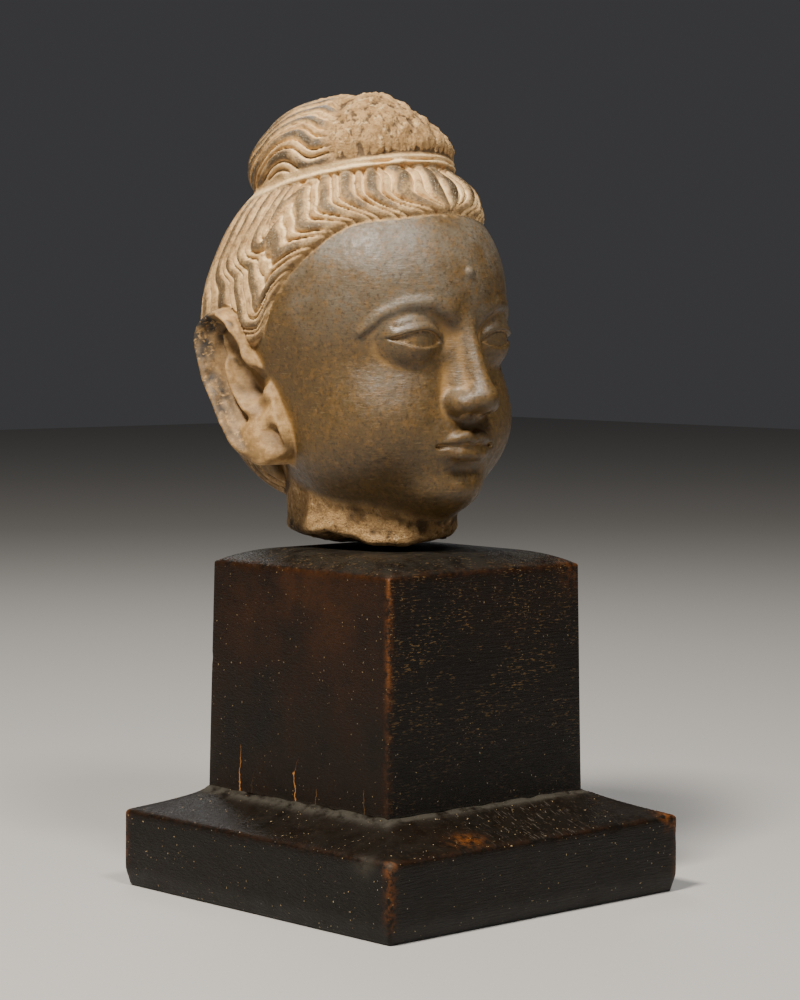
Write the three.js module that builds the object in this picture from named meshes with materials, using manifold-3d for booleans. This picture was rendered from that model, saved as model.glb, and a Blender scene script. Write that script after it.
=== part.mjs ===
// A carved schist head of the Buddha, resting on a square wooden stand of two pieces.
//
// Millimetres, +Z up. The origin is the middle of the stand's underside, and the face looks along -Y.
// The head is one stone: face, ears, hair, top-knot and broken neck. The stand is a block on a base.
// Each carved form is written as a distance to its surface, negative inside the stone, so that soft
// joins between masses are a smooth minimum. Grids of points are then moved out onto that surface.

import * as THREE from 'three';
import { mergeVertices } from 'three/addons/utils/BufferGeometryUtils.js';
import Module from 'manifold-3d';

const wasm = await Module();
wasm.setup();

// ---------------------------------------------------------------- driving dimensions

const GAP = 0.3;

const BASE = { side: 174.8, foot: 171.5, bulge: 0.8, edge: 34, top: 44, corner: 1.6 };
const BLOCK = { foot: 118, head: 114.8, arris: 146, flat: 33, top: 152, corner: 1.2, shift: 1.8 };
const HEAD_SEAT = new THREE.Vector3(0, 22, BLOCK.top + GAP);

const SKULL_CENTRE = [0, 10, 100];
const NECK = { centre: -2, halfWidth: 33.5, halfDepth: 43, top: 50, breakTop: 24, chamfer: 5 };
const EYE = { centre: [21, -45.5, 92.5], radius: 14.6, inner: 10.8, outer: 36.2 };
const EAR = { foot: [1.5, 38], lean: 23.4, reach: 59, flare: 0.18 };
const HAIR = {
  radius: 68, crown: 16, locks: 22, groove: 3.4, lip: { front: 4.5, side: 2 }, napeStep: 2.5, back: 7,
  sweep: { front: 22, side: 31 }, turn: { front: 10, side: 14 },
  forward: { front: 9, side: 20 }, wave: { front: 4, side: 12 },
};
const TIE = { centre: 11, halfWidth: 42, halfDepth: 47, height: 160, slope: 0.215, cord: 1.6 };
const BUN = {
  centre: [0, 12, 171], size: [45.5, 48.5, 28.5], tilt: 11, radius: 45, top: 60,
  lock: 8.8, strands: 6, groove: 2.4, crest: 93, lean: 0.55, dip: 8, dipWidth: 25, fall: 0.5,
  worn: { towards: [0.73, -0.684], from: 12, height: 198.5, fall: 0.74 },
};

const DEGREE = Math.PI / 180;

// ---------------------------------------------------------------- distances and smooth joins

const { abs, cos, exp, hypot, max, min, sin, sqrt } = Math;
const clamp = THREE.MathUtils.clamp;
const smoothstep = THREE.MathUtils.smoothstep;
const lerp = THREE.MathUtils.lerp;

function softMin(a, b, width) {
  const overlap = max(width - abs(a - b), 0) / width;
  return min(a, b) - overlap * overlap * width * 0.25;
}

function softMax(a, b, width) {
  return -softMin(-a, -b, width);
}

function ellipsoid(x, y, z, [cx, cy, cz], [rx, ry, rz]) {
  const a = (x - cx) / rx;
  const b = (y - cy) / ry;
  const c = (z - cz) / rz;
  const scaled = hypot(a, b, c);
  const slope = hypot(a / rx, b / ry, c / rz);
  return slope < 1e-9 ? -min(rx, ry, rz) : scaled * (scaled - 1) / slope;
}

// A rounded rod from one point to another; each end is [x, y, z, radius].
function rod(x, y, z, from, to) {
  const [dx, dy, dz] = [to[0] - from[0], to[1] - from[1], to[2] - from[2]];
  const along = (x - from[0]) * dx + (y - from[1]) * dy + (z - from[2]) * dz;
  const t = clamp(along / (dx * dx + dy * dy + dz * dz), 0, 1);
  const gap = hypot(x - from[0] - t * dx, y - from[1] - t * dy, z - from[2] - t * dz);
  return gap - from[3] - t * (to[3] - from[3]);
}

function rodChain(x, y, z, points) {
  let distance = Infinity;
  for (let i = 1; i < points.length; i++) {
    distance = min(distance, rod(x, y, z, points[i - 1], points[i]));
  }
  return distance;
}

// ---------------------------------------------------------------- the face and neck

// Half widths are mirrored: every form is written for one side and read at |x|.
function skull(ax, y, z) {
  let d = ellipsoid(ax, y, z, [0, 8, 102], [58, 71, 61.5]);
  d = softMin(d, ellipsoid(ax, y, z, [0, -13, 116], [49.5, 50, 46.5]), 10);
  d = softMin(d, ellipsoid(ax, y, z, [0, -10, 64], [49, 50, 50]), 12);
  return d;
}

function jawAndCheeks(d, ax, y, z) {
  d = softMin(d, ellipsoid(ax, y, z, [0, -17, 46], [44, 42, 31]), 10);
  d = softMin(d, ellipsoid(ax, y, z, [0, -44, 29], [19, 18.5, 13]), 12);
  d = softMin(d, ellipsoid(ax, y, z, [22, -34, 58], [22, 24.5, 24]), 12);
  return softMin(d, ellipsoid(ax, y, z, [0, -50, 48], [20, 15.5, 15]), 8);
}

function neck(d, ax, y, z) {
  const round = hypot(ax / NECK.halfWidth, (y - NECK.centre) / NECK.halfDepth);
  const column = softMax((round - 1) * NECK.halfWidth, z - NECK.top, 6);
  return softMin(d, column, 7);
}

function brows(d, ax, y, z) {
  const socket = ellipsoid(ax, y, z, [25, -67, 94.5], [18, 11.5, 9.5]);
  const ridge = rodChain(ax, y, z, [
    [4, -59.5, 99, 2.4], [10, -61, 104, 2.4], [19, -59.6, 108, 2.2],
    [29, -55, 107.6, 1.8], [37, -48.5, 103, 1.2], [43, -41, 95, 0.4],
  ]);
  return softMin(softMax(d, -socket, 7), ridge, 3.5);
}

function nose(d, ax, y, z) {
  d = softMin(d, rod(ax, y, z, [0, -56, 100, 5.5], [0, -61, 68, 10.5]), 4);
  d = softMin(d, rod(ax, y, z, [0, -61.5, 100, 2.8], [0, -72.5, 69, 5]), 4);
  d = softMin(d, ellipsoid(ax, y, z, [0, -71.8, 67], [7.2, 7.2, 5.8]), 4);
  d = softMin(d, ellipsoid(ax, y, z, [8.2, -65.5, 64.6], [4.6, 7.6, 5]), 2.4);
  return softMax(d, -ellipsoid(ax, y, z, [4.8, -68.5, 59.6], [2.2, 3.8, 2.4]), 1.6);
}

// A lowered upper lid and a thin lower lid are shells round the eyeball, cut along two arcs.
function eye(d, ax, y, z) {
  const ball = hypot(ax - EYE.centre[0], y - EYE.centre[1], z - EYE.centre[2]);
  const across = clamp((ax - EYE.inner) / (EYE.outer - EYE.inner), 0, 1);
  const corner = 90.6 + 2.2 * across;
  const upperEdge = corner + 4.9 * sin(Math.PI * across ** 0.82);
  const lowerEdge = corner - 2.8 * sin(Math.PI * across ** 1.15);
  const upperLid = softMax(ball - EYE.radius - 1.7, upperEdge - z, 0.9);
  const lowerLid = softMax(ball - EYE.radius - 1.2, z - lowerEdge, 0.9);
  d = softMin(d, softMin(upperLid, lowerLid, 0.5), 2.2);
  return min(d, ball - EYE.radius);
}

function mouth(d, ax, y, z) {
  const upperLip = rodChain(ax, y, z, [
    [0, -65.8, 49.6, 2.6], [3.4, -66.2, 50.9, 2.7], [8, -64.6, 49.9, 2.5],
    [13, -61.4, 48, 1.8], [17.4, -57.6, 47, 0.8],
  ]);
  const lowerLip = rodChain(ax, y, z, [
    [0, -64.4, 43.2, 3.7], [6, -63.8, 43.4, 3.6], [11, -61.2, 44.6, 2.6], [16, -57.8, 46, 1.1],
  ]);
  const parting = rodChain(ax, y, z, [
    [0, -69.8, 46.9, 0.9], [5, -69.2, 47.3, 0.9], [10, -66, 46.9, 0.9],
    [15, -61.6, 46.6, 1.1], [18.8, -58.2, 47.2, 0.9],
  ]);
  d = softMin(d, upperLip, 1.4);
  d = softMin(d, lowerLip, 1.6);
  d = softMax(d, -parting, 1);
  d = softMax(d, -rod(ax, y, z, [0, -69.2, 59, 1.4], [0, -70.6, 54, 1.9]), 1.8);
  return softMax(d, -ellipsoid(ax, y, z, [0, -66, 35.6], [14, 4.6, 3.4]), 5);
}

function faceDistance(x, y, z) {
  const ax = abs(x);
  let d = jawAndCheeks(skull(ax, y, z), ax, y, z);
  d = neck(d, ax, y, z);
  d = brows(d, ax, y, z);
  d = nose(d, ax, y, z);
  d = eye(d, ax, y, z);
  d = mouth(d, ax, y, z);
  return softMin(d, hypot(x, y + 62.4, z - 121) - 2.6, 0.8);
}

// ---------------------------------------------------------------- the ears

// The ear lies on a leaning plane: w runs back across it and v runs up it from the lobe.
const EAR_OUTLINE = [
  [4.5, 60, 0, 14], [5.5, 47, 0, 14.5], [3.5, 28, 0, 14.5], [2.5, 15, 0, 12.5], [1.5, 11, 0, 10.5],
];
const EAR_RIDGES = [
  { path: [[4, 62], [5.5, 50], [7.5, 40], [6, 30], [1, 24]], width: 2.6, rise: 3 },
  { path: [[-3, 68], [-8, 58], [-9, 50]], width: 3, rise: 3 },
  { path: [[-9, 46], [-9.5, 43]], width: 3.8, rise: 4.2 },
  { path: [[4, 16], [2.5, 8]], width: 6, rise: 2 },
];
const EAR_HOLLOWS = [
  { path: [[5, 66], [10.5, 59], [12.5, 48], [11.5, 36], [8, 24]], width: 2.6, sink: 3.4 },
  { path: [[-1, 54], [-1.5, 34]], width: 5, sink: 6 },
  { path: [[-8, 39], [-7.5, 36]], width: 3, sink: 6 },
  { path: [[-6, 25], [0, 24]], width: 3, sink: 2.4 },
  { path: [[-5.5, 13], [-6, 2]], width: 2.4, sink: 5 },
];

// The distance on the ear's plane to a chain of [w, v] points.
function lineDistance(w, v, path) {
  return rodChain(w, v, 0, path.map(([back, up]) => [back, up, 0, 0]));
}

function bump(distance, width) {
  return exp(-((distance / width) ** 2));
}

function earDistance(ax, y, z) {
  const lean = EAR.lean * DEGREE;
  const dy = y - EAR.foot[0];
  const dz = z - EAR.foot[1];
  const w = cos(lean) * dy - sin(lean) * dz;
  const v = sin(lean) * dy + cos(lean) * dz;
  if (hypot(w, v - 37) > 55) return hypot(w, v - 37) - 45;
  const outline = rodChain(w, v, 0, EAR_OUTLINE);
  const rimFade = smoothstep(v, 4, 16) * smoothstep(w + 0.35 * v, -2, 14);
  const ground = EAR.reach + EAR.flare * w + 0.06 * max(v - 35, 0) - 1.6;
  let height = ground + 3.6 * rimFade * bump(outline + 3, 2.6);
  for (const { path, width, rise } of EAR_RIDGES) height += rise * bump(lineDistance(w, v, path), width);
  for (const { path, width, sink } of EAR_HOLLOWS) height -= sink * bump(lineDistance(w, v, path), width);
  return softMax(outline, ax - height, 3);
}

// ---------------------------------------------------------------- the hair

// The lower edge of the combed locks, as an angle down from straight up, round from the front.
const HAIRLINE = [
  [0, 52.5], [23, 53.5], [46, 54.5], [66, 66], [78, 79.5], [87, 97], [110, 107], [140, 118], [180, 130],
];

// A smooth curve through [angle, value] pairs, level at both ends.
function curveThrough(pairs) {
  const last = pairs.length - 1;
  const slopes = pairs.map((_, i) => {
    if (i === 0 || i === last) return 0;
    return (pairs[i + 1][1] - pairs[i - 1][1]) / (pairs[i + 1][0] - pairs[i - 1][0]);
  });
  return (angle) => {
    let i = 0;
    while (i < last - 1 && angle > pairs[i + 1][0]) i++;
    const [[from, low], [to, high]] = [pairs[i], pairs[i + 1]];
    const t = clamp((angle - from) / (to - from), 0, 1);
    const rise = (3 - 2 * t) * t * t;
    const bow = t * (1 - t) * (slopes[i] * (1 - t) - slopes[i + 1] * t);
    return low + (high - low) * rise + (to - from) * bow;
  };
}

const hairlineAt = curveThrough(HAIRLINE);

// The cord that ties the top-knot lies in a plane that slopes down to the back.
function heightOverTie(y, z) {
  return z - TIE.height + TIE.slope * (y - TIE.centre);
}

function hairMass(x, y, z) {
  const ax = abs(x);
  let d = ellipsoid(ax, y, z, [0, 10, 100], [62, 78, 66]);
  d = softMin(d, ellipsoid(ax, y, z, [0, 2.4, 128], [57, 64, 46]), 12);
  d = softMin(d, ellipsoid(ax, y, z, [0, -7, 130], [49, 55, 42.5]), 8);
  return softMin(d, ellipsoid(ax, y, z, [0, 28, 70], [50, 52, 55]), 12);
}

// Under the combed locks the short hair of the nape runs down behind the ears to the neck.
function napeDistance(x, y, z) {
  const behindEars = 24 + 0.3 * max(z - 40, 0) - y;
  return softMax(hairMass(x, y, z) + HAIR.napeStep, behindEars, 4);
}

// The locks turn sooner and wave less over the brow than at the sides.
function lockShape(turnAngle) {
  const between = ({ front, side }, start, end) => lerp(front, side, smoothstep(turnAngle, start, end));
  return {
    turn: between(HAIR.turn, 20, 70),
    sweep: between(HAIR.sweep, 20, 70),
    forward: between(HAIR.forward, 15, 65),
    wave: between(HAIR.wave, 30, 75),
  };
}

// How far a lock lies back from its turn, at a distance in from the hairline. It leaves the
// hairline almost along it, turns sharply inwards, and then waves forward and back.
function lockSweep(inward, { turn, sweep, forward, wave }) {
  if (inward < turn) return sweep * (sin((inward / turn) * Math.PI / 2) - 1);
  const along = (inward - turn) % (forward + HAIR.back);
  if (along < forward) return wave * (cos((along / forward) * Math.PI) - 1) / 2;
  return -wave * (cos(((along - forward) / HAIR.back) * Math.PI) + 1) / 2;
}

// Where a lock lies, round from the front. By the parting the locks run together.
function lockAngle(turnAngle, inward) {
  const plain = smoothstep(turnAngle, 95, 180);
  const shape = lockShape(turnAngle);
  const swept = lockSweep(inward, shape) / HAIR.radius / DEGREE;
  const room = swept < 0 ? min(1, 0.94 * turnAngle / (shape.sweep / HAIR.radius / DEGREE)) : 1;
  return turnAngle + swept * room * (1 - 0.85 * plain);
}

// The height across a lock, 0 to 1: a broad rounded strand and a thin one beside it.
function lockProfile(across) {
  const broad = across < 0.7;
  const t = broad ? across / 0.7 : (across - 0.7) / 0.3;
  return (broad ? 1 : 0.6) * sqrt(max(0, 1 - (2 * t - 1) ** 2));
}

function stoneDistance(x, y, z) {
  const skin = softMin(faceDistance(x, y, z), earDistance(abs(x), y, z), 2);
  return softMin(skin, napeDistance(x, y, z), 1.5);
}

// ---------------------------------------------------------------- surfaces from grids

// A closed grid: every vertex of a sphere geometry goes to place(column, row), both 0 to 1.
function closedGrid(columns, rows, place) {
  const geometry = new THREE.SphereGeometry(1, columns, rows);
  const position = geometry.attributes.position;
  for (let row = 0; row <= rows; row++) {
    for (let column = 0; column <= columns; column++) {
      const point = place(column % columns, row);
      position.setXYZ(row * (columns + 1) + column, point.x, point.y, point.z);
    }
  }
  geometry.deleteAttribute('normal');
  geometry.deleteAttribute('uv');
  return mergeVertices(geometry, 1e-4);
}

// The first distance along a ray, coming in from outside, at which it meets a surface.
function castInward(distance, origin, direction, start) {
  let reach = start;
  for (let step = 0; step < 120; step++) {
    const d = distance(
      origin.x + direction.x * reach, origin.y + direction.y * reach, origin.z + direction.z * reach,
    );
    reach -= d * 0.8;
    if (abs(d) < 0.01 || reach < 1) break;
  }
  return max(reach, 1);
}

// Spreads of values: each stretch runs to an end value in a number of equal steps.
function spread(start, stretches) {
  const values = [start];
  for (const [end, steps] of stretches) {
    const from = values[values.length - 1];
    for (let i = 1; i <= steps; i++) values.push(from + ((end - from) * i) / steps);
  }
  return values;
}

// The broken edge of the neck lifts off the stand on the right cheek's side.
function neckBreak(angle) {
  const lifted = 8 * bump(angle + 92, 34) * (1 - 0.3 * sin(angle * 0.21));
  return lifted + 1.3 * (1 + sin(angle * 0.11 + 1)) * smoothstep(abs(angle), 50, 90);
}

function coreGeometry() {
  const half = spread(0, [[40, 14], [75, 4], [86, 2], [125, 9], [173, 4]]);
  const angles = [...half, ...half.slice(1).reverse().map((a) => -a)];
  const heights = spread(148, [[104, 4], [84, 7], [70, 3], [58, 6], [38, 6], [24, 2], [3, 3], [0, 1]]);
  const rows = heights.length + 1;
  return closedGrid(angles.length, rows, (column, row) => {
    if (row === 0) return new THREE.Vector3(0, 0, 156);
    if (row === rows) return new THREE.Vector3(0, NECK.centre, 3);
    const angle = angles[column];
    const direction = new THREE.Vector3(sin(angle * DEGREE), -cos(angle * DEGREE), 0);
    const height = heights[row - 1];
    const lifted = neckBreak(angle) * max(0, 1 - height / NECK.breakTop);
    const origin = new THREE.Vector3(0, -2, height + lifted);
    const inset = height === 0 ? NECK.chamfer : 0;
    return origin.addScaledVector(direction, castInward(stoneDistance, origin, direction, 110) - inset);
  });
}

// The columns of the hair follow its locks: four to a lock in front, two to a lock behind.
function lockColumns() {
  const width = 360 / HAIR.locks;
  const columns = [];
  for (let lock = 0; lock < HAIR.locks; lock++) {
    const fromFront = min(lock * width, 360 - (lock + 1) * width);
    const mirrored = lock >= HAIR.locks / 2;
    const steps = fromFront < 115 ? [0, 0.35, 0.7, 0.85] : [0, 0.5];
    for (const across of mirrored ? steps.map((step) => (1 - step) % 1).sort() : steps) {
      const profile = lockProfile(mirrored ? 1 - across : across);
      columns.push({ angle: (lock + across) * width, profile });
    }
  }
  return columns;
}

function hairGeometry() {
  const columns = lockColumns();
  const centre = new THREE.Vector3(...SKULL_CENTRE);
  const [turnRows, forwardRows, farRows] = [3, 3, 6];
  const nearRows = turnRows + forwardRows + 1;
  const rows = nearRows + farRows + 2;
  return closedGrid(columns.length, rows, (column, row) => {
    if (row === 0) return new THREE.Vector3(0, TIE.centre, 168);
    if (row === rows) return centre;
    const { angle, profile } = columns[column];
    const side = angle > 180 ? -1 : 1;
    const turnAngle = angle > 180 ? 360 - angle : angle;
    const level = max(rows - 1 - row - 1, 0);
    const { turn, forward } = lockShape(turnAngle);
    const reachUp = (hairlineAt(turnAngle) - HAIR.crown) * DEGREE * HAIR.radius;
    const stretches = [[turn, turnRows], [turn + forward, forwardRows], [reachUp, farRows]];
    const inward = spread(0, stretches)[level];
    const round = min(lockAngle(turnAngle, inward), 180);
    const down = hairlineAt(round) - inward / HAIR.radius / DEGREE;
    const direction = new THREE.Vector3(
      side * sin(round * DEGREE) * sin(down * DEGREE),
      -cos(round * DEGREE) * sin(down * DEGREE),
      cos(down * DEGREE),
    );
    const isUnder = row === rows - 1;
    if (isUnder) {
      return centre.clone().addScaledVector(direction, castInward(faceDistance, centre, direction, 110) - 5);
    }
    const thinned = lerp(HAIR.lip.front, HAIR.lip.side, smoothstep(round, 30, 80));
    const lip = thinned * (1 - smoothstep(inward, -2, 13));
    const reach = castInward(hairMass, centre, direction, 120) - lip;
    const point = centre.clone().addScaledVector(direction, reach);
    const plain = 1 - 0.35 * smoothstep(round, 100, 160);
    const tied = smoothstep(heightOverTie(point.y, point.z), -6, -1);
    const depth = HAIR.groove * plain * smoothstep(inward, 0, 5) * (1 - tied);
    return point.addScaledVector(direction, depth * (profile - 1));
  });
}

// ---------------------------------------------------------------- the top-knot

// The knot is an egg shape on its tie, worn down along a slope towards the left temple.
function bunDistance(x, y, z) {
  const tilt = BUN.tilt * DEGREE;
  const [cx, cy, cz] = BUN.centre;
  const back = cos(tilt) * (y - cy) - sin(tilt) * (z - cz);
  const up = sin(tilt) * (y - cy) + cos(tilt) * (z - cz);
  const whole = ellipsoid(x - cx, back, up, [0, 0, 0], BUN.size);
  const { towards, from, height, fall } = BUN.worn;
  const worn = z - height + fall * (x * towards[0] + y * towards[1] - from);
  const mass = softMax(whole, worn * 0.8, 5);
  const ring = (hypot(x / TIE.halfWidth, (y - TIE.centre) / TIE.halfDepth) - 1) * TIE.halfWidth;
  return softMin(mass, hypot(ring, heightOverTie(y, z)) - TIE.cord, 1.5);
}

// How far over the cord a strand of the top-knot runs, round from the front: it climbs from the
// back to a crest at the side, and dips again towards the front.
function strandHeight(number, fromFront) {
  let up = number * BUN.lock;
  for (let step = 0; step < 12; step++) {
    const behind = fromFront - (BUN.crest - BUN.lean * up);
    const falling = BUN.fall * (hypot(max(behind, 0), BUN.dip) - BUN.dip);
    const dipping = BUN.dip * (1 - cos(clamp(-behind / BUN.dipWidth, 0, 1) * Math.PI)) / 2;
    up = number * BUN.lock - falling - dipping;
  }
  return up;
}

// The front of the knot has crumbled, from the left temple round to the right one.
function crumbled(angle, up) {
  const left = -52 - 0.35 * up;
  return smoothstep(angle, left, left + 9) * (1 - smoothstep(angle, 66, 80));
}

function bunGeometry() {
  const columns = 50;
  const centre = new THREE.Vector3(0, TIE.centre, TIE.height);
  const strandRows = spread(BUN.strands, [[0, BUN.strands * 2]]);
  const cordRows = [1.6, 0, -1.6, -9];
  const rows = 2 + strandRows.length + cordRows.length + 1;
  return closedGrid(columns, rows, (column, row) => {
    if (row === rows) return centre.clone().setZ(TIE.height - 30);
    const angle = (column / columns) * 360;
    const round = angle > 180 ? angle - 360 : angle;
    const strand = row - 3;
    const lowest = (i) => 2.4 + 0.7 * (strandRows.length - 1 - i);
    const heightOf = (i) => max(strandHeight(strandRows[i], abs(round)), lowest(i));
    let up = [90 * DEGREE * BUN.radius, BUN.top, (BUN.top + heightOf(0)) / 2][row];
    if (strand >= 0 && strand < strandRows.length) up = heightOf(strand);
    if (strand >= strandRows.length) up = cordRows[strand - strandRows.length];
    const rise = up / BUN.radius;
    const direction = new THREE.Vector3(
      sin(angle * DEGREE) * cos(rise),
      -cos(angle * DEGREE) * cos(rise),
      sin(rise) + cos(rise) * TIE.slope * cos(angle * DEGREE),
    ).normalize();
    const broken = crumbled(round, up);
    const carved = strand >= 0 ? smoothstep(up, 2, 7) * (1 - smoothstep(up, 46, 54)) : 0;
    const groove = BUN.groove * carved * (1 - broken) * (strandRows[strand] % 1 === 0);
    const pits = (1 - sin(angle * 0.2) * sin(up * 0.5)) / 2;
    const chips = row > 0 ? BUN.groove * smoothstep(up, 3, 8) * broken * pits : 0;
    const reach = castInward(bunDistance, centre, direction, 90) - groove - chips;
    return centre.clone().addScaledVector(direction, reach);
  });
}

// ---------------------------------------------------------------- joining and the stand

function toSolid(geometry) {
  return new wasm.Manifold(new wasm.Mesh({
    numProp: 3,
    vertProperties: new Float32Array(geometry.attributes.position.array),
    triVerts: new Uint32Array(geometry.index.array),
  }));
}

function toGeometry(solid) {
  const mesh = solid.getMesh();
  const geometry = new THREE.BufferGeometry();
  geometry.setAttribute('position', new THREE.BufferAttribute(mesh.vertProperties, 3));
  geometry.setIndex(new THREE.BufferAttribute(mesh.triVerts, 1));
  return geometry;
}

function headGeometry() {
  const core = toSolid(coreGeometry());
  const hair = toSolid(hairGeometry());
  const bun = toSolid(bunGeometry());
  return toGeometry(core.add(hair).add(bun));
}

// One level of a stand piece: a square with bulging sides and rounded corners, at angle 0 to 360.
function squareLevel(angle, half, corner, bulge) {
  const direction = [cos(angle * DEGREE), sin(angle * DEGREE)];
  const inner = half - corner;
  const box = (x, y) => {
    const qx = abs(x) - inner;
    const qy = abs(y) - inner;
    return hypot(max(qx, 0), max(qy, 0)) + min(max(qx, qy), 0) - corner;
  };
  let reach = half * 1.5;
  for (let step = 0; step < 60; step++) reach -= box(direction[0] * reach, direction[1] * reach) * 0.7;
  const [x, y] = [direction[0] * reach, direction[1] * reach];
  const swell = (t) => 1 - clamp(t / half, -1, 1) ** 2;
  const onSide = abs(x) > abs(y);
  const dx = onSide ? Math.sign(x) * bulge * swell(y) : 0;
  const dy = onSide ? 0 : Math.sign(y) * bulge * swell(x);
  return [x + dx, y + dy];
}

// Levels run from the top down: [height, half side, corner radius, bulge].
function standGeometry(levels) {
  const corner = spread(0, [[27, 1], [40, 1], [44.4, 1], [45.6, 2], [50, 1], [63, 1], [90, 1]]).slice(1);
  const angles = [0, 1, 2, 3].flatMap((quarter) => corner.map((a) => a + quarter * 90));
  const rows = levels.length + 1;
  return closedGrid(angles.length, rows, (column, row) => {
    if (row === 0) return new THREE.Vector3(0, 0, levels[0][0]);
    if (row === rows) return new THREE.Vector3(0, 0, levels[levels.length - 1][0]);
    const [z, half, radius, bulge] = levels[row - 1];
    const [x, y] = squareLevel(angles[column], half, radius, bulge);
    return new THREE.Vector3(x, y, z);
  });
}

function baseGeometry() {
  const half = BASE.side / 2;
  const foot = BASE.foot / 2;
  const seat = BLOCK.foot / 2 + 1;
  return standGeometry([
    [BASE.top, seat, 2, 0],
    [BASE.top - 0.7, seat + 1.8, 2, 0],
    [BASE.edge + 0.6, half - 1.4, BASE.corner, BASE.bulge],
    [BASE.edge - 1, half - 0.3, BASE.corner, BASE.bulge],
    [10, half, BASE.corner, BASE.bulge],
    [3, half - 1.1, BASE.corner, BASE.bulge],
    [0, foot, BASE.corner, BASE.bulge],
  ]);
}

function blockGeometry() {
  const foot = BLOCK.foot / 2;
  const head = BLOCK.head / 2;
  const rise = BLOCK.top - BLOCK.arris;
  return standGeometry([
    [BLOCK.top, BLOCK.flat, 20, 0],
    [BLOCK.top - rise * 0.25, BLOCK.flat + (head - BLOCK.flat) * 0.55, 12, 0],
    [BLOCK.arris + 0.6, head - 0.9, BLOCK.corner, 0],
    [BLOCK.arris - 0.6, head, BLOCK.corner, 0],
    [BASE.top + GAP, foot, BLOCK.corner, 0],
  ]);
}

// ---------------------------------------------------------------- the object

const schist = new THREE.MeshStandardMaterial({ color: 0x8a7458, roughness: 0.55, metalness: 0 });
const darkWood = new THREE.MeshStandardMaterial({ color: 0x2a1a10, roughness: 0.42, metalness: 0 });

function piece(name, geometry, material, position) {
  const mesh = new THREE.Mesh(geometry, material);
  mesh.name = name;
  mesh.position.copy(position);
  return mesh;
}

const baseSeat = new THREE.Vector3();
const blockSeat = new THREE.Vector3(-BLOCK.shift, BLOCK.shift, 0);
const buddhaHead = new THREE.Group();
buddhaHead.add(piece('head', headGeometry(), schist, HEAD_SEAT));
buddhaHead.add(piece('plinth_block', blockGeometry(), darkWood, blockSeat));
buddhaHead.add(piece('plinth_base', baseGeometry(), darkWood, baseSeat));

export default buddhaHead;
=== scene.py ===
# %% [markdown]
# # A schist head of the Buddha on its wooden stand
# The real thing is three pieces. The head is one stone, carved and rubbed smooth on the face, with
# combed hair, a tied top-knot and a neck that broke off long ago. It rests by its own weight on a
# square hardwood block, and the block stands on a low base. Both are stained nearly black and waxed.
# The frame comes first: the solid model of the same three pieces, in metres, +Z up, face towards -Y.

# %% Load the frame
import math

import bpy
import numpy as np
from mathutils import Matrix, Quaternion, Vector


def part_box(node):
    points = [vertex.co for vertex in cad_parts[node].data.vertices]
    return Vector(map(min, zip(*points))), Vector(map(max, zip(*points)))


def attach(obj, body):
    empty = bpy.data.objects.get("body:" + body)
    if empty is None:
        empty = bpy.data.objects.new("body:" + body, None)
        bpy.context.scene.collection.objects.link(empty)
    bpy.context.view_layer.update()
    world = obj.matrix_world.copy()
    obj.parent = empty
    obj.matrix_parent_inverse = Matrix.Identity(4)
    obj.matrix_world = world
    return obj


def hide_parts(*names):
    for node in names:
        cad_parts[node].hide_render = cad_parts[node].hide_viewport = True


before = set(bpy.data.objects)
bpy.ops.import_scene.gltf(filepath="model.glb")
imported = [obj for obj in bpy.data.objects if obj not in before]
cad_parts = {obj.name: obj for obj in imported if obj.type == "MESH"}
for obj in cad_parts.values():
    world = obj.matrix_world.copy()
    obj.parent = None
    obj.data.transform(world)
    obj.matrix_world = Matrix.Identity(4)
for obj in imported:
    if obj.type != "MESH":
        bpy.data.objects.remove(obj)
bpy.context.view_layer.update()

# %% [markdown]
# ## Units and small helpers
# The head is carved in millimetres in a frame of its own: x across, y back, z up from the lowest
# point of the neck. Its middle stands a little behind the middle of the stand. Every operator acts on
# what is selected, so one helper selects a single object before each step.

# %% Units and selection
MM = 0.001
HEAD_BACK = 22.0
head_low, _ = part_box("head")
SEAT = np.array([0.0, HEAD_BACK, head_low.z / MM])


def only(piece):
    """Selects one object and makes it the active one."""
    bpy.ops.object.select_all(action="DESELECT")
    piece.select_set(True)
    bpy.context.view_layer.objects.active = piece


def apply_modifier(piece, kind, **settings):
    """Adds a modifier with its settings and makes it real."""
    only(piece)
    modifier = piece.modifiers.new(kind.lower(), kind)
    for name, value in settings.items():
        setattr(modifier, name, value)
    bpy.ops.object.modifier_apply(modifier=modifier.name)


def smooth_faces(piece):
    """Shades a piece as one smooth surface."""
    only(piece)
    bpy.ops.object.shade_smooth()


def triangles(piece):
    """How many triangles a piece comes to."""
    return sum(len(face.vertices) - 2 for face in piece.data.polygons)


print("the head sits at", SEAT, "mm")

# %% [markdown]
# ## Reading and moving a mesh as numbers
# A carver takes stone away a little at a time, everywhere at once. Here the same is done with arrays:
# all points of a mesh are read, moved together along their normals, and written back.

# %% Mesh arrays
def triples(items, key):
    """Three numbers for each point or normal of a mesh, as one array."""
    flat = np.empty(len(items) * 3, np.float32)
    items.foreach_get(key, flat)
    return flat.reshape(-1, 3).astype(float)


def points_of(piece):
    """The points of a mesh in millimetres."""
    return triples(piece.data.vertices, "co") / MM


def normals_of(piece):
    """The outward normals at the points of a mesh."""
    return triples(piece.data.vertex_normals, "vector")


def set_points(piece, points):
    """Writes points in millimetres back to a mesh."""
    piece.data.vertices.foreach_set("co", (points * MM).astype(np.float32).ravel())
    piece.data.update()


def paint(piece, name, values):
    """Stores one number per point, for the materials to read."""
    attribute = piece.data.attributes.new(name, "FLOAT", "POINT")
    attribute.data.foreach_set("value", np.clip(values, 0, 1).astype(np.float32))


print("the head's solid has", len(points_of(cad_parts["head"])), "points")

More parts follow.
